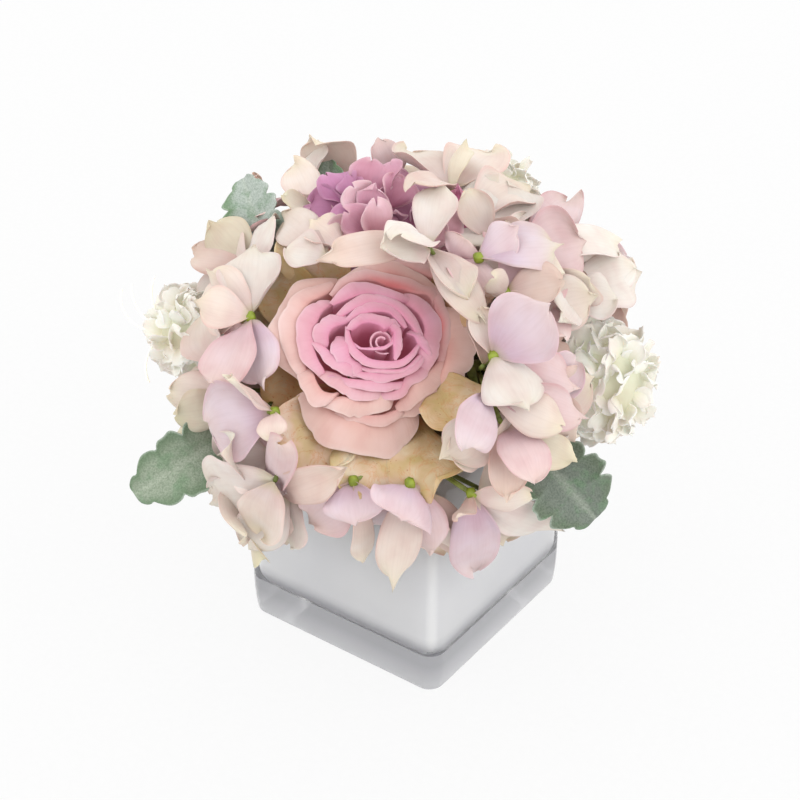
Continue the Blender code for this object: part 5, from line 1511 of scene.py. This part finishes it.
def fine_petal(blade, dye, rng, grid, waves=1.0):
    """A hydrangea petal in its dye, on a grid of rows and columns."""
    wider = NARROW_WIDENING if blade["width"] < NARROW_WIDTH else BROAD_WIDENING
    shape = {"width": blade["width"] * wider, "arch": rng.uniform(0.02, 0.14), "cup": rng.uniform(-0.16, 0.2),
             "fullness": 0.5, "roll": blade.get("roll", 0.0) + rng.uniform(-12, 12)}
    sheet = petal_sheet({**blade, **shape}, *grid, rng, waves)
    return closed_sheet(sheet, CLOTH["hydrangea"], hydrangea_tint(dye, grid, rng))


def deeper_florets(hubs, layer):
    """Eyes of a layer of florets under those on the dome, by the head that carries them."""
    lift, spacing = layer[:2]
    kept = []
    for number in range(DEEPER_PLACES):
        point = spiral_point(number, DEEPER_PLACES, DEEPER_DEPTH, DEEPER_TURN, lift)
        if point[2] < DEEPER_LOWEST or in_another_bloom(point) or in_clear_room(point):
            continue
        if all(np.linalg.norm(point - other) > spacing for other in kept):
            kept.append(point)
    florets = {name: [] for name in hubs}
    for point in kept:
        florets[min(hubs, key=lambda key: np.linalg.norm(hubs[key] - point))].append(point)
    return florets


def in_clear_room(point):
    """Whether a floret there would show in a part of the front view that is kept clear."""
    if dome_normal(point) @ TO_VIEWER < 0:
        return False
    from_middle = point - VIEW_CENTRE
    nearer = VIEW_DISTANCE / (VIEW_DISTANCE - from_middle @ TO_VIEWER)
    across, up = from_middle @ VIEW_RIGHT * nearer, from_middle @ VIEW_UP * nearer
    return any(math.hypot(across - x, up - y) < room for x, y, room in CLEAR_ROOMS)


def in_another_bloom(point):
    """Whether a floret there would run into the rose, the mauve head or a white head."""
    from_base = point - ROSE_BASE
    along = from_base @ ROSE_AXIS
    if along > -16.0 and np.linalg.norm(from_base - ROSE_AXIS * along) < ROSE_ROOM + 0.3 * max(along, 0.0):
        return True
    if np.linalg.norm(point - MAUVE_CENTRE) < MAUVE_ROOM:
        return True
    return any(np.linalg.norm(point - in_front(head[0])) < WHITE_ROOM for head in WHITE_HEADS.values())


def deeper_floret(eye, number, layer, hub, rng):
    """A floret of a layer under the dome: four petals, each with its own size and lean, and its stalk."""
    _, _, length, width, dyes = layer
    dye = dyes[number % len(dyes)]
    parts = []
    for quarter, (blade, normal) in enumerate(rule_petals(eye, number + 3)):
        ahead = unit(blade["tip"] - eye)
        blade["width"] = width * rng.uniform(0.8, 1.15)
        blade["tip"] = eye + ahead * length * rng.uniform(0.8, 1.1) + normal * rng.uniform(-3.0, 5.0)
        blade["roll"] = rng.uniform(-22, 22)
        parts.append(fine_petal(blade, dye[quarter % len(dye)], rng, DEEPER_GRID))
    stalk = fine_tube(np.array([hub, eye]), THIN_RADIUS, THIN_SIDES, linear(GREENS["thin_stalk"]), 1)
    return [*parts, stalk]


def hydrangea_piece(name, inner, cloth, green, rng):
    """One head: its petals, with the deeper ones, and its green eyes, stalks and stem."""
    parts = []
    held = PLAN[name]
    (hub,) = held["hub"][0]
    for blade, dye in held.get("petal", ()):
        parts.append(fine_petal(blade, dye, rng, SHOWN_GRID, 1.5))
    for eyes, layer in zip(inner, DEEPER_LAYERS):
        for number, eye in enumerate(eyes):
            parts += deeper_floret(eye, number, layer, hub, rng)
    for (eye,) in held.get("eye", ()):
        parts.append(fine_ball(eye, EYE_RADIUS, linear(GREENS["eye"]), 1, EYE_LOBES, 7))
    for kind, radius, sides in (("stalk", PEDICEL_RADIUS, STALK_SIDES),
                                ("thin_stalk", THIN_RADIUS, THIN_SIDES)):
        for (path,) in held.get(kind, ()):
            parts.append(fine_tube(path, radius, sides, linear(GREENS[kind]), 1))
    parts += stem_parts(name, STEM_SIDES, "stem", 1)
    parts.append(fine_ball(hub, HUB_RADIUS, linear(GREENS["hub"]), 1))
    return make_piece(name + "_petals", parts, [cloth, green], [name])


def stem_parts(name, sides, green, slot):
    """The stems that the plan holds for a node."""
    tint = linear(GREENS[green])
    return [fine_tube(path, radius, sides, tint, slot) for path, radius in PLAN[name]["stem"]]


# Rose

def flared_rim(sheet, outwards, reach, bend, steps):
    """The sheet carried on past its last row by a rim that turns outwards ever faster.

    At the share t of its reach the rim has turned by bend t^1.4 from the sheet's own direction.
    """
    ahead = unit_rows(sheet[-1] - sheet[-2])
    away = unit_rows(outwards - ahead * np.sum(outwards * ahead, axis=1, keepdims=True))
    share = (np.arange(steps) + 0.5)[:, None, None] / steps
    turn = np.broadcast_to(bend, len(ahead))[None, :, None] * share ** 1.4
    stride = np.broadcast_to(reach, len(ahead))[None, :, None] / steps
    steps_out = stride * (np.cos(turn) * ahead[None] + np.sin(turn) * away[None])
    return np.concatenate([sheet, sheet[-1][None] + np.cumsum(steps_out, axis=0)])


def rose_plane(across, up, height):
    """Where a line of sight of the front view meets the rose's plane at a height, in that plane's axes."""
    ray = VIEW_CENTRE + VIEW_RIGHT * across + VIEW_UP * up - EYE
    from_eye = ROSE_BASE + ROSE_AXIS * height - EYE
    point = ray * ((from_eye @ ROSE_AXIS) / (ray @ ROSE_AXIS)) - from_eye
    return point @ ROSE_X, point @ ROSE_Y


def bent(first, middle, last, share):
    """The quadratic curve from first to last that starts and ends towards middle."""
    t = share[:, None, None]
    return first * (1 - t) ** 2 + middle * 2 * t * (1 - t) + last * t ** 2


def drawn_rose_petal(rim, band, height, rng):
    """A rose petal drawn by its rim: a cup that rises to a fold, and from there a lip that turns over.

    The rim's points are joined by straight lines and eased. The fold lies nearer to the middle by
    LIP_TURN of the band, less at the ends, and higher by LIP_RISE of that. Cup and lip are quadratic
    curves with a common tangent at the fold, and two small nicks and slow waves break the rim.
    """
    corners = np.array([rose_plane(*point, height) for point in rim])
    steps = np.linalg.norm(np.diff(corners, axis=0), axis=1)
    places = np.concatenate([[0], np.cumsum(steps)]) / steps.sum()
    v = petal_columns(ROSE_COLUMNS)
    edge = np.stack([np.interp((v + 1) / 2, places, corners[:, axis]) for axis in (0, 1)], axis=1)
    for _ in range(3):
        edge[1:-1] = edge[:-2] * 0.25 + edge[1:-1] * 0.5 + edge[2:] * 0.25
    reach = np.linalg.norm(edge, axis=1)
    phases = rng.uniform(0, 2 * np.pi, 4)
    ruffle = 0.05 * band * np.sin(8 * v + phases[0]) + 0.02 * band * np.sin(17 * v + phases[1])
    for _ in range(2):
        ruffle -= rng.uniform(0.05, 0.12) * band * np.exp(-((v - rng.uniform(-0.8, 0.8)) / 0.04) ** 2)
    rim_height = height - 1.8 * np.abs(v) ** 4 + 0.10 * band * np.sin(5 * v + phases[2])
    turned = LIP_TURN * band * (1 - 0.55 * v ** 4) * (1 + 0.12 * np.sin(3.5 * v + phases[3]))
    fold = edge * np.maximum(1 - turned / reach, 0.25)[:, None]
    fold_height = rim_height + LIP_RISE * turned
    foot = raised(fold * 0.3, np.full(len(v), 5.0))
    crest = raised(fold, fold_height)
    belly = raised(fold * 0.98, fold_height * 0.6)
    lead = unit_rows(crest - belly) * (turned * LIP_SWELL)[:, None]
    last = raised(edge * (1 + ruffle / reach)[:, None], rim_height)
    cup = bent(foot, belly, crest, np.linspace(0.05, 1, ROSE_CUP_ROWS))
    lip = bent(crest, crest + lead, last, np.linspace(0, 1, ROSE_LIP_ROWS + 1)[1:])
    return np.concatenate([cup, lip])


def raised(flat, rise):
    """Points of the rose's plane, each lifted along its axis."""
    return rose_point(flat[:, 0], flat[:, 1], rise)


def rose_tint(tone, coral, rng):
    """The dye of a rose petal, mauve pink inside and peach outside, darker at its foot as painted shade,
    paler over its lip, partly dye and partly painted light, with a painted highlight along the rim.
    """
    rows = ROSE_CUP_ROWS + ROSE_LIP_ROWS
    share, v = np.meshgrid(np.arange(rows) - ROSE_CUP_ROWS, petal_columns(ROSE_COLUMNS), indexing="ij")
    up = np.clip(share / ROSE_CUP_ROWS + 1, 0, 1)
    over = np.clip(share / ROSE_LIP_ROWS, 0, 1)
    deep, body, pale = (linear(inner) * (1 - tone) + linear(outer) * tone for inner, outer in (
        ("#e8849f", "#e9a193"), ("#e89cbd", "#ecb9b0"), ("#edb8cd", "#efd2ca")))
    # Painted shade: darker towards the foot of each cup
    tint = mix(deep, body, smooth(0.35, 1.0, up))
    # Paler over the turned lip: partly the dye, partly painted light
    tint = mix(tint, pale, smooth(0.05, 0.9, over) * rng.uniform(0.75, 0.95))
    # Painted highlight: a near-white line along the rim
    tint = mix(tint, linear("#fff6f2"), smooth(0.88, 1.0, over) * 0.9)
    blotch = np.exp(-((v - rng.uniform(-0.3, 0.5)) / 0.4) ** 2)
    blush = smooth(-0.2, 0.2, over) * (1 - smooth(0.3, 0.9, over)) * blotch * coral * 0.7
    return mix(tint, linear("#e9696f"), blush) * ROSE_SHADE


def guard_petal(root, tip, width, roll, dyes, rng):
    """An outer petal under the rose: broad, with slow waves, ochre at its foot and its own dyes."""
    blade = {"root": in_front(root), "tip": in_front(tip), "width": width, "roll": roll, "arch": 0.10,
             "outward": ROSE_AXIS, "cup": 0.06, "fullness": 0.45, "narrowing": 1.9}
    sheet = petal_sheet(blade, *GUARD_GRID, rng, 2.4)
    u, v = petal_grid(GUARD_GRID)
    middle, left, right = (linear(code) for code in dyes)
    tint = mix(middle, right, smooth(0.3, 1.0, v) * 0.9)
    tint = mix(tint, left, smooth(0.3, 1.0, -v) * 0.9)
    tint = mix(linear("#cfb98e"), tint, smooth(0.05, 0.45, u))
    return closed_sheet(sheet, CLOTH["guard"], tint * GUARD_SHADE, 1)


def rose_piece(cloth, guard, rng):
    """The bloom: its bud, its petals as the front view shows their rims, and the ochre outer petals."""
    coil = rose_bud(BUD_COLUMNS, np.linspace(0.3, 1, BUD_ROW_COUNT))
    outwards = unit_rows(coil[-1] - coil[-1].mean(axis=0, keepdims=True))
    coil = flared_rim(coil, outwards, 0.9, math.radians(110), BUD_RIM_ROWS)
    # Painted shade: the bud is darker down in its coil and paler towards its top
    rise = smooth(0.3, 1.0, np.linspace(0, 1, len(coil)))[:, None] * np.ones(BUD_COLUMNS)
    bud_dye_and_shade = mix(linear("#ea98b6"), linear("#f6c8d8"), rise) * ROSE_SHADE
    parts = [closed_sheet(coil, CLOTH["bud"], bud_dye_and_shade)]
    for rim, band, height, tone, coral in ROSE_RIMS:
        sheet = drawn_rose_petal(rim, band, height, rng)
        parts.append(closed_sheet(sheet, CLOTH["rose"], rose_tint(tone, coral, rng)))
    for root, tip, width, roll, *dyes in ROSE_GUARDS:
        parts.append(guard_petal(root, tip, width, roll, dyes, rng))
    return make_piece("rose_petals", parts, [cloth, guard], ["rose_bloom"])


def unit_rows(vectors):
    """Each row at length one."""
    return vectors / np.linalg.norm(vectors, axis=-1, keepdims=True)


def rose_stem_piece(green, rng):
    """The rose's stem, hip and sepals."""
    parts = stem_parts("rose_stem", ROSE_STEM_SIDES, "rose_stem", 0)
    for (blade,) in PLAN["rose_stem"].get("petal", ()):
        sheet = petal_sheet(blade, *SEPAL_GRID, rng)
        parts.append(closed_sheet(sheet, CLOTH["sepal"], linear(GREENS["sepal"])))
    return make_piece("rose_stem_and_hip", parts, [green], ["rose_stem"])


# Round heads

def head_parts(name, dye, rng):
    """A round head: the solids' petals and many smaller ones between them, over a small core."""
    held = PLAN[name]
    centre, core_radii, axis, (_, range_down, reach, _, _) = held["core"][0]
    style = HEAD_STYLES[dye]
    core_tint = linear(style["depth"]) * style["shade"][0]
    parts = [fine_ball(centre, core_radii + style["padding"] * reach, core_tint)]
    for (blade,) in held["petal"]:
        blade = dict(blade, width=blade["width"] * style["planned_width"])
        parts.append(round_petal(blade, style, rng))
    count = style["count"]
    for number in range(count):
        root, spread, normal, _ = head_petal(number, count, centre, core_radii, axis, range_down + 0.15)
        open_share = min(1.0, 0.2 + 3.0 * number / count)
        lean = unit(spread * 0.8 * open_share + normal * style["lift"] + rng.normal(0, 0.18, 3))
        blade = {"root": root, "tip": root + lean * (reach + ROOT_SINK) * rng.uniform(*style["reach"]),
                 "width": rng.uniform(*style["width"]) * (0.65 + 0.35 * open_share),
                 "outward": normal + rng.normal(0, 0.15, 3), "arch": 0.16,
                 "cup": rng.uniform(-0.2, 0.05), "roll": rng.uniform(-14, 14), "fullness": 0.42,
                 "narrowing": 2.2}
        parts.append(round_petal(blade, style, rng))
    return parts + stem_parts(name, STEM_SIDES, "head_stem", 1)


def round_petal(blade, style, rng):
    """A small petal of a round head, tinted from its depth to its edge."""
    sheet = petal_sheet(blade, *style["grid"], rng, style["waves"])
    u, v = petal_grid(style["grid"])
    tint = mix(linear(style["depth"]), linear(style["face"]), smooth(0.1, 0.7, u))
    rim = smooth(0.75, 1.0, np.maximum(u, np.abs(v)))
    tint = mix(tint, linear(style["edge"]), rim * rng.uniform(0.3, 0.9))
    return closed_sheet(sheet, CLOTH["round_head"], tint * rng.uniform(*style["shade"]))


# Petals of the round heads: how many, reach as shares of the solids', width, grid, waves, lean outwards,
# padding of the core, width of the solids' petals, dyes and how much light the dye takes
HEAD_STYLES = {
    "white": {"count": 110, "reach": (0.75, 1.2), "width": (10.0, 13.0), "grid": (12, 11), "waves": 1.4,
              "lift": 0.5, "padding": 0.32, "planned_width": 1.0, "shade": (0.60, 0.70),
              "depth": "#f8f9de", "face": "#fffff6", "edge": "#ffffff"},
    "mauve": {"count": 46, "reach": (0.60, 1.02), "width": (11.0, 16.0), "grid": (14, 12), "waves": 3.0,
              "lift": 0.6, "padding": 0.2, "planned_width": 1.05, "shade": (0.72, 0.82),
              "depth": "#bb80a0", "face": "#d9a8c0", "edge": "#f0cfdb"},
}

# Mauve petals of the front view, and the dyes of their depth, face and edge
MAUVE_FRONT = {"grid": (18, 15), "waves": 3.2, "shade": (0.72, 0.82)}
MAUVE_DYES = {"deep": ("#b0709a", "#cc90b6", "#dcaecb"), "mid": ("#bf7f9a", "#dba4ba", "#ecc6d2"),
              "light": ("#c98f9f", "#e6bcc8", "#f4dce0"), "dark": ("#95486a", "#b8668a", "#d096ac")}


def mauve_front(rng):
    """The mauve petals that the front view shows, ruffled tongues laid where the photo has them."""
    parts = []
    for root, tip, width, dye in MAUVE_PETALS:
        root, tip = in_front(root), in_front(tip)
        outward = unit(TO_VIEWER + 0.6 * dome_normal(tip))
        blade = {"root": root, "tip": tip, "width": width * 1.15, "outward": outward, "arch": 0.14,
                 "cup": 0.12, "fullness": 0.5, "narrowing": 1.8, "roll": rng.uniform(-15, 15)}
        depth, face, edge = MAUVE_DYES[dye]
        style = {**MAUVE_FRONT, "depth": depth, "face": face, "edge": edge}
        parts.append(round_petal(blade, style, rng))
    return parts


def white_threads():
    """Fine curled threads that stand out of the left white head, each an arc that tightens to its end."""
    centre = in_front(WHITE_HEADS["white_head_left"][0])
    parts = []
    for lift, sweep, size in THREADS:
        t = np.linspace(0, 1, THREAD_POINTS)[:, None]
        angle = math.radians(lift) + math.radians(sweep) * t ** 1.3
        away = -VIEW_RIGHT * np.cos(angle) + VIEW_UP * np.sin(angle)
        run = np.cumsum(away * size / THREAD_POINTS, axis=0)
        path = centre - VIEW_RIGHT * THREAD_START[0] + run + TO_VIEWER * THREAD_START[1]
        parts.append(fine_tube(path, THREAD_RADIUS, THIN_SIDES, linear("#f4f6ea")))
    return parts


# Leaves

def leaf_sheet(blade, rng):
    """The solid's lobed blade with fine scallops, a pressed midrib and pillows between side veins."""
    u = np.linspace(0.03, 0.985, LEAF_ROWS)
    v = petal_columns(LEAF_COLUMNS)
    _, side, face = blade_axes(blade)
    width = blade["width"]
    u_grid, v_grid = np.meshgrid(u, v, indexing="ij")
    sheet = blade_sheet(u, v, blade)
    edge = np.abs(v_grid)
    pillow = np.abs(np.sin(np.pi * (LEAF_LOBES + 0.5) * (u_grid - 0.12 * edge)))
    rise = width * 0.035 * pillow * edge * (1 - edge ** 4)
    rise -= width * 0.035 * np.exp(-(v_grid / 0.07) ** 2) * np.sin(np.pi * u_grid)
    rise += width * 0.020 * np.sin(26 * u_grid + rng.uniform(0, 6)) * edge ** 4
    scallop = width * 0.018 * np.sin(44 * u_grid + rng.uniform(0, 6)) * edge ** 6 * np.sin(np.pi * u_grid)
    return sheet + face * rise[..., None] + side * (scallop * np.sign(v_grid))[..., None]


# Dyes of the leaves: face and border
LEAF_DYES = {"leaf_upper_left": ("#b1bab2", "#6f8c66"), "leaf_lower_left": ("#9aa592", "#6f8569"),
             "leaf_lower_right": ("#788076", "#6a7763"), "other": ("#97a496", "#728868")}


def leaf_piece(name, felt, rng):
    """A leaf with its stalk: silver grey, greener towards its edge, with a pale midrib."""
    (blade,) = PLAN[name]["petal"][0]
    sheet = leaf_sheet(blade, rng)
    _, v = petal_grid((LEAF_ROWS, LEAF_COLUMNS))
    face, border = (linear(code) for code in LEAF_DYES.get(name, LEAF_DYES["other"]))
    tint = mix(face, border, smooth(0.45, 0.95, v if name == "leaf_upper_left" else np.abs(v)) * 0.9)
    tint = mix(tint, linear("#d3d9c9"), np.exp(-(v / 0.05) ** 2) * 0.25)
    tint = mix(tint, linear("#ccd4cb"), smooth(0.96, 1.0, np.abs(v)) * 0.6)
    parts = [closed_sheet(sheet, CLOTH["leaf"], tint), *stem_parts(name, STALK_SIDES, "leaf_stalk", 0)]
    return make_piece(name + "_flocked", parts, [felt], [name])


# Vase

def vase_tint_and_highlight(rings):
    """White, a little greyer on the flat sides, with a painted highlight of pure white along the line of each
    corner.

    The highlight's share is exp(-(distance from the corner's middle / the band's half width) squared).
    """
    flat = rings.reshape(-1, 3)
    off_corner = np.abs(np.abs(flat[:, 0]) - np.abs(flat[:, 1])) / math.sqrt(2)
    # Painted highlight: pure white along each corner, greyer on the flat sides
    share = np.exp(-(off_corner / HIGHLIGHT_BAND) ** 2)
    return mix(linear("#f4f4f7"), linear("#ffffff"), np.concatenate([share, np.zeros(2)]))


def vase_piece(name, loops, surfaces, node):
    """One layer of the vase through its loops."""
    rings = np.stack([loops[0] * DRAWN_IN, *loops, loops[-1] * DRAWN_IN])
    return make_piece(name, [closed_round(rings, vase_tint_and_highlight(rings))], surfaces, [node])


def vase_pieces():
    """Clear glass outside and white glass inside, the white one's face in contact with the clear one."""
    walls = pressed_glass("clear_soda_lime_glass", clearness=1.0, low_shade="#fcfcfb", high_shade="#fdfdfc")
    # The foot's grey is painted shade
    foot = pressed_glass("glass_foot_with_painted_shade", clearness=0.5, low_shade="#dcdcde", high_shade="#b9b9bc")
    glass = vase_piece("vase_glass", glass_loops(FINE_CORNER_STEPS, FINE_BEND_STEPS), [walls, foot],
                       "vase_clear_glass")
    lining = lining_shell_loops(GAP + LINING_SINK, FINE_CORNER_STEPS, FINE_BEND_STEPS)
    vase_piece("vase_opal_layer", lining, [opal_glass()], "vase_white_lining")
    faces = glass.data.polygons
    middles = np.zeros(3 * len(faces))
    faces.foreach_get("center", middles)
    in_foot = middles[2::3] < (GLASS_BASE - FOOT_LEVEL) * METRES_PER_MM
    faces.foreach_set("material_index", in_foot.astype(np.int32))


# Setting

def stage_floor():
    """The light table under the vase."""
    corners = [(x, y, -TABLE_DROP) for x, y in ((-1, -1), (1, -1), (1, 1), (-1, 1))]
    corners = [(x * TABLE_REACH, y * TABLE_REACH, z) for x, y, z in corners]
    mesh = bpy.data.meshes.new("floor")
    mesh.from_pydata(corners, [], [(0, 1, 2, 3)])
    mesh.materials.append(light_table())
    floor = bpy.data.objects.new("floor", mesh)
    bpy.context.scene.collection.objects.link(floor)


def soft_box(name, place, aim, power):
    """A soft box at a place in metres that faces another."""
    light = bpy.data.lights.new(name, "AREA")
    light.size = BOX_SIDE
    light.energy = power
    made = bpy.data.objects.new(name, light)
    made.location = place
    made.rotation_euler = (Vector(aim) - Vector(place)).to_track_quat("-Z", "Y").to_euler()
    bpy.context.scene.collection.objects.link(made)


def stage_light():
    """A bright even room with a large soft box on either side."""
    world = bpy.data.worlds.new("studio")
    bpy.context.scene.world = world
    world.use_nodes = True
    feed(world.node_tree, world.node_tree.nodes["Background"],
         {"Color": (1.0, 1.0, 1.0, 1.0), "Strength": WORLD_STRENGTH})
    soft_box("left_box", LEFT_BOX, LEFT_AIM, LEFT_POWER)
    soft_box("right_box", RIGHT_BOX, RIGHT_AIM, RIGHT_POWER)
    bpy.context.scene.view_settings.view_transform = "Standard"


def stage_camera():
    """The view from the front, looking down, at the distance that the vase's edges give."""
    data = bpy.data.cameras.new("camera")
    data.sensor_width = SENSOR_WIDTH
    data.lens = FOCAL_LENGTH
    data.clip_start, data.clip_end = SIGHT_RANGE
    camera = bpy.data.objects.new("camera", data)
    turned = Matrix((VIEW_RIGHT, VIEW_UP, TO_VIEWER)).transposed().to_4x4()
    turned.translation = Vector((EYE - FOOT) * METRES_PER_MM)
    camera.matrix_world = turned
    bpy.context.scene.collection.objects.link(camera)
    bpy.context.scene.camera = camera


# The pieces in order

def draws(kind, number=0):
    """The random draws of a piece."""
    return np.random.default_rng(SEEDS[kind] + number)


def foam_block():
    """The foam keeps its own mesh and takes its material."""
    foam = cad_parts["floral_foam"]
    foam.data.materials.clear()
    foam.data.materials.append(floral_foam())


def rose_pieces(green):
    """The rose and its stem."""
    cloth = petal_cloth("rose_petal_cloth", veins=30.0, vein_depth=0.22, roughness=0.55, softness=0.3,
                        painted_glow=0.10, streak_tone="#c0607c")
    rose_piece(cloth, guard_cloth(), draws("rose"))
    rose_stem_piece(green, draws("rose_stem"))


def hydrangea_pieces(hubs, green):
    """Every hydrangea head with its deeper florets."""
    cloth = petal_cloth("hydrangea_petal_cloth", veins=26.0, vein_depth=0.2, roughness=0.6, softness=0.3,
                        painted_glow=0.06)
    deeper = [deeper_florets(hubs, layer) for layer in DEEPER_LAYERS]
    for number, name in enumerate(HYDRANGEAS):
        inner = [florets[name] for florets in deeper]
        hydrangea_piece(name, inner, cloth, green, draws("hydrangea", number))


def round_pieces(green):
    """The mauve head and the white heads."""
    mauve = petal_cloth("mauve_petal_cloth", veins=22.0, vein_depth=0.3, roughness=0.6, softness=0.3,
                        painted_glow=0.08, streak_tone="#8a4a68")
    rng = draws("mauve")
    parts = head_parts("mauve_head", "mauve", rng) + mauve_front(rng)
    make_piece("mauve_head_petals", parts, [mauve, green], ["mauve_head"])
    white = petal_cloth("white_petal_cloth", veins=14.0, vein_depth=0.2, roughness=0.6, softness=0.4,
                        painted_glow=0.24, streak_tone="#c8ca98")
    for number, name in enumerate(WHITE_HEADS):
        parts = head_parts(name, "white", draws("white", number))
        if name == "white_head_left":
            parts += white_threads()
        make_piece(name + "_petals", parts, [white, green], [name])


def main():
    """Place and dress every piece, then set the stage."""
    hubs = plan_all()
    green = moulded_stem()
    vase_pieces()
    foam_block()
    rose_pieces(green)
    hydrangea_pieces(hubs, green)
    round_pieces(green)
    felt = flocked_leaf()
    for number, name in enumerate([*FRONT_LEAVES, *BACK_LEAVES]):
        leaf_piece(name, felt, draws("leaf", number))
    stage_floor()
    stage_light()
    stage_camera()


main()
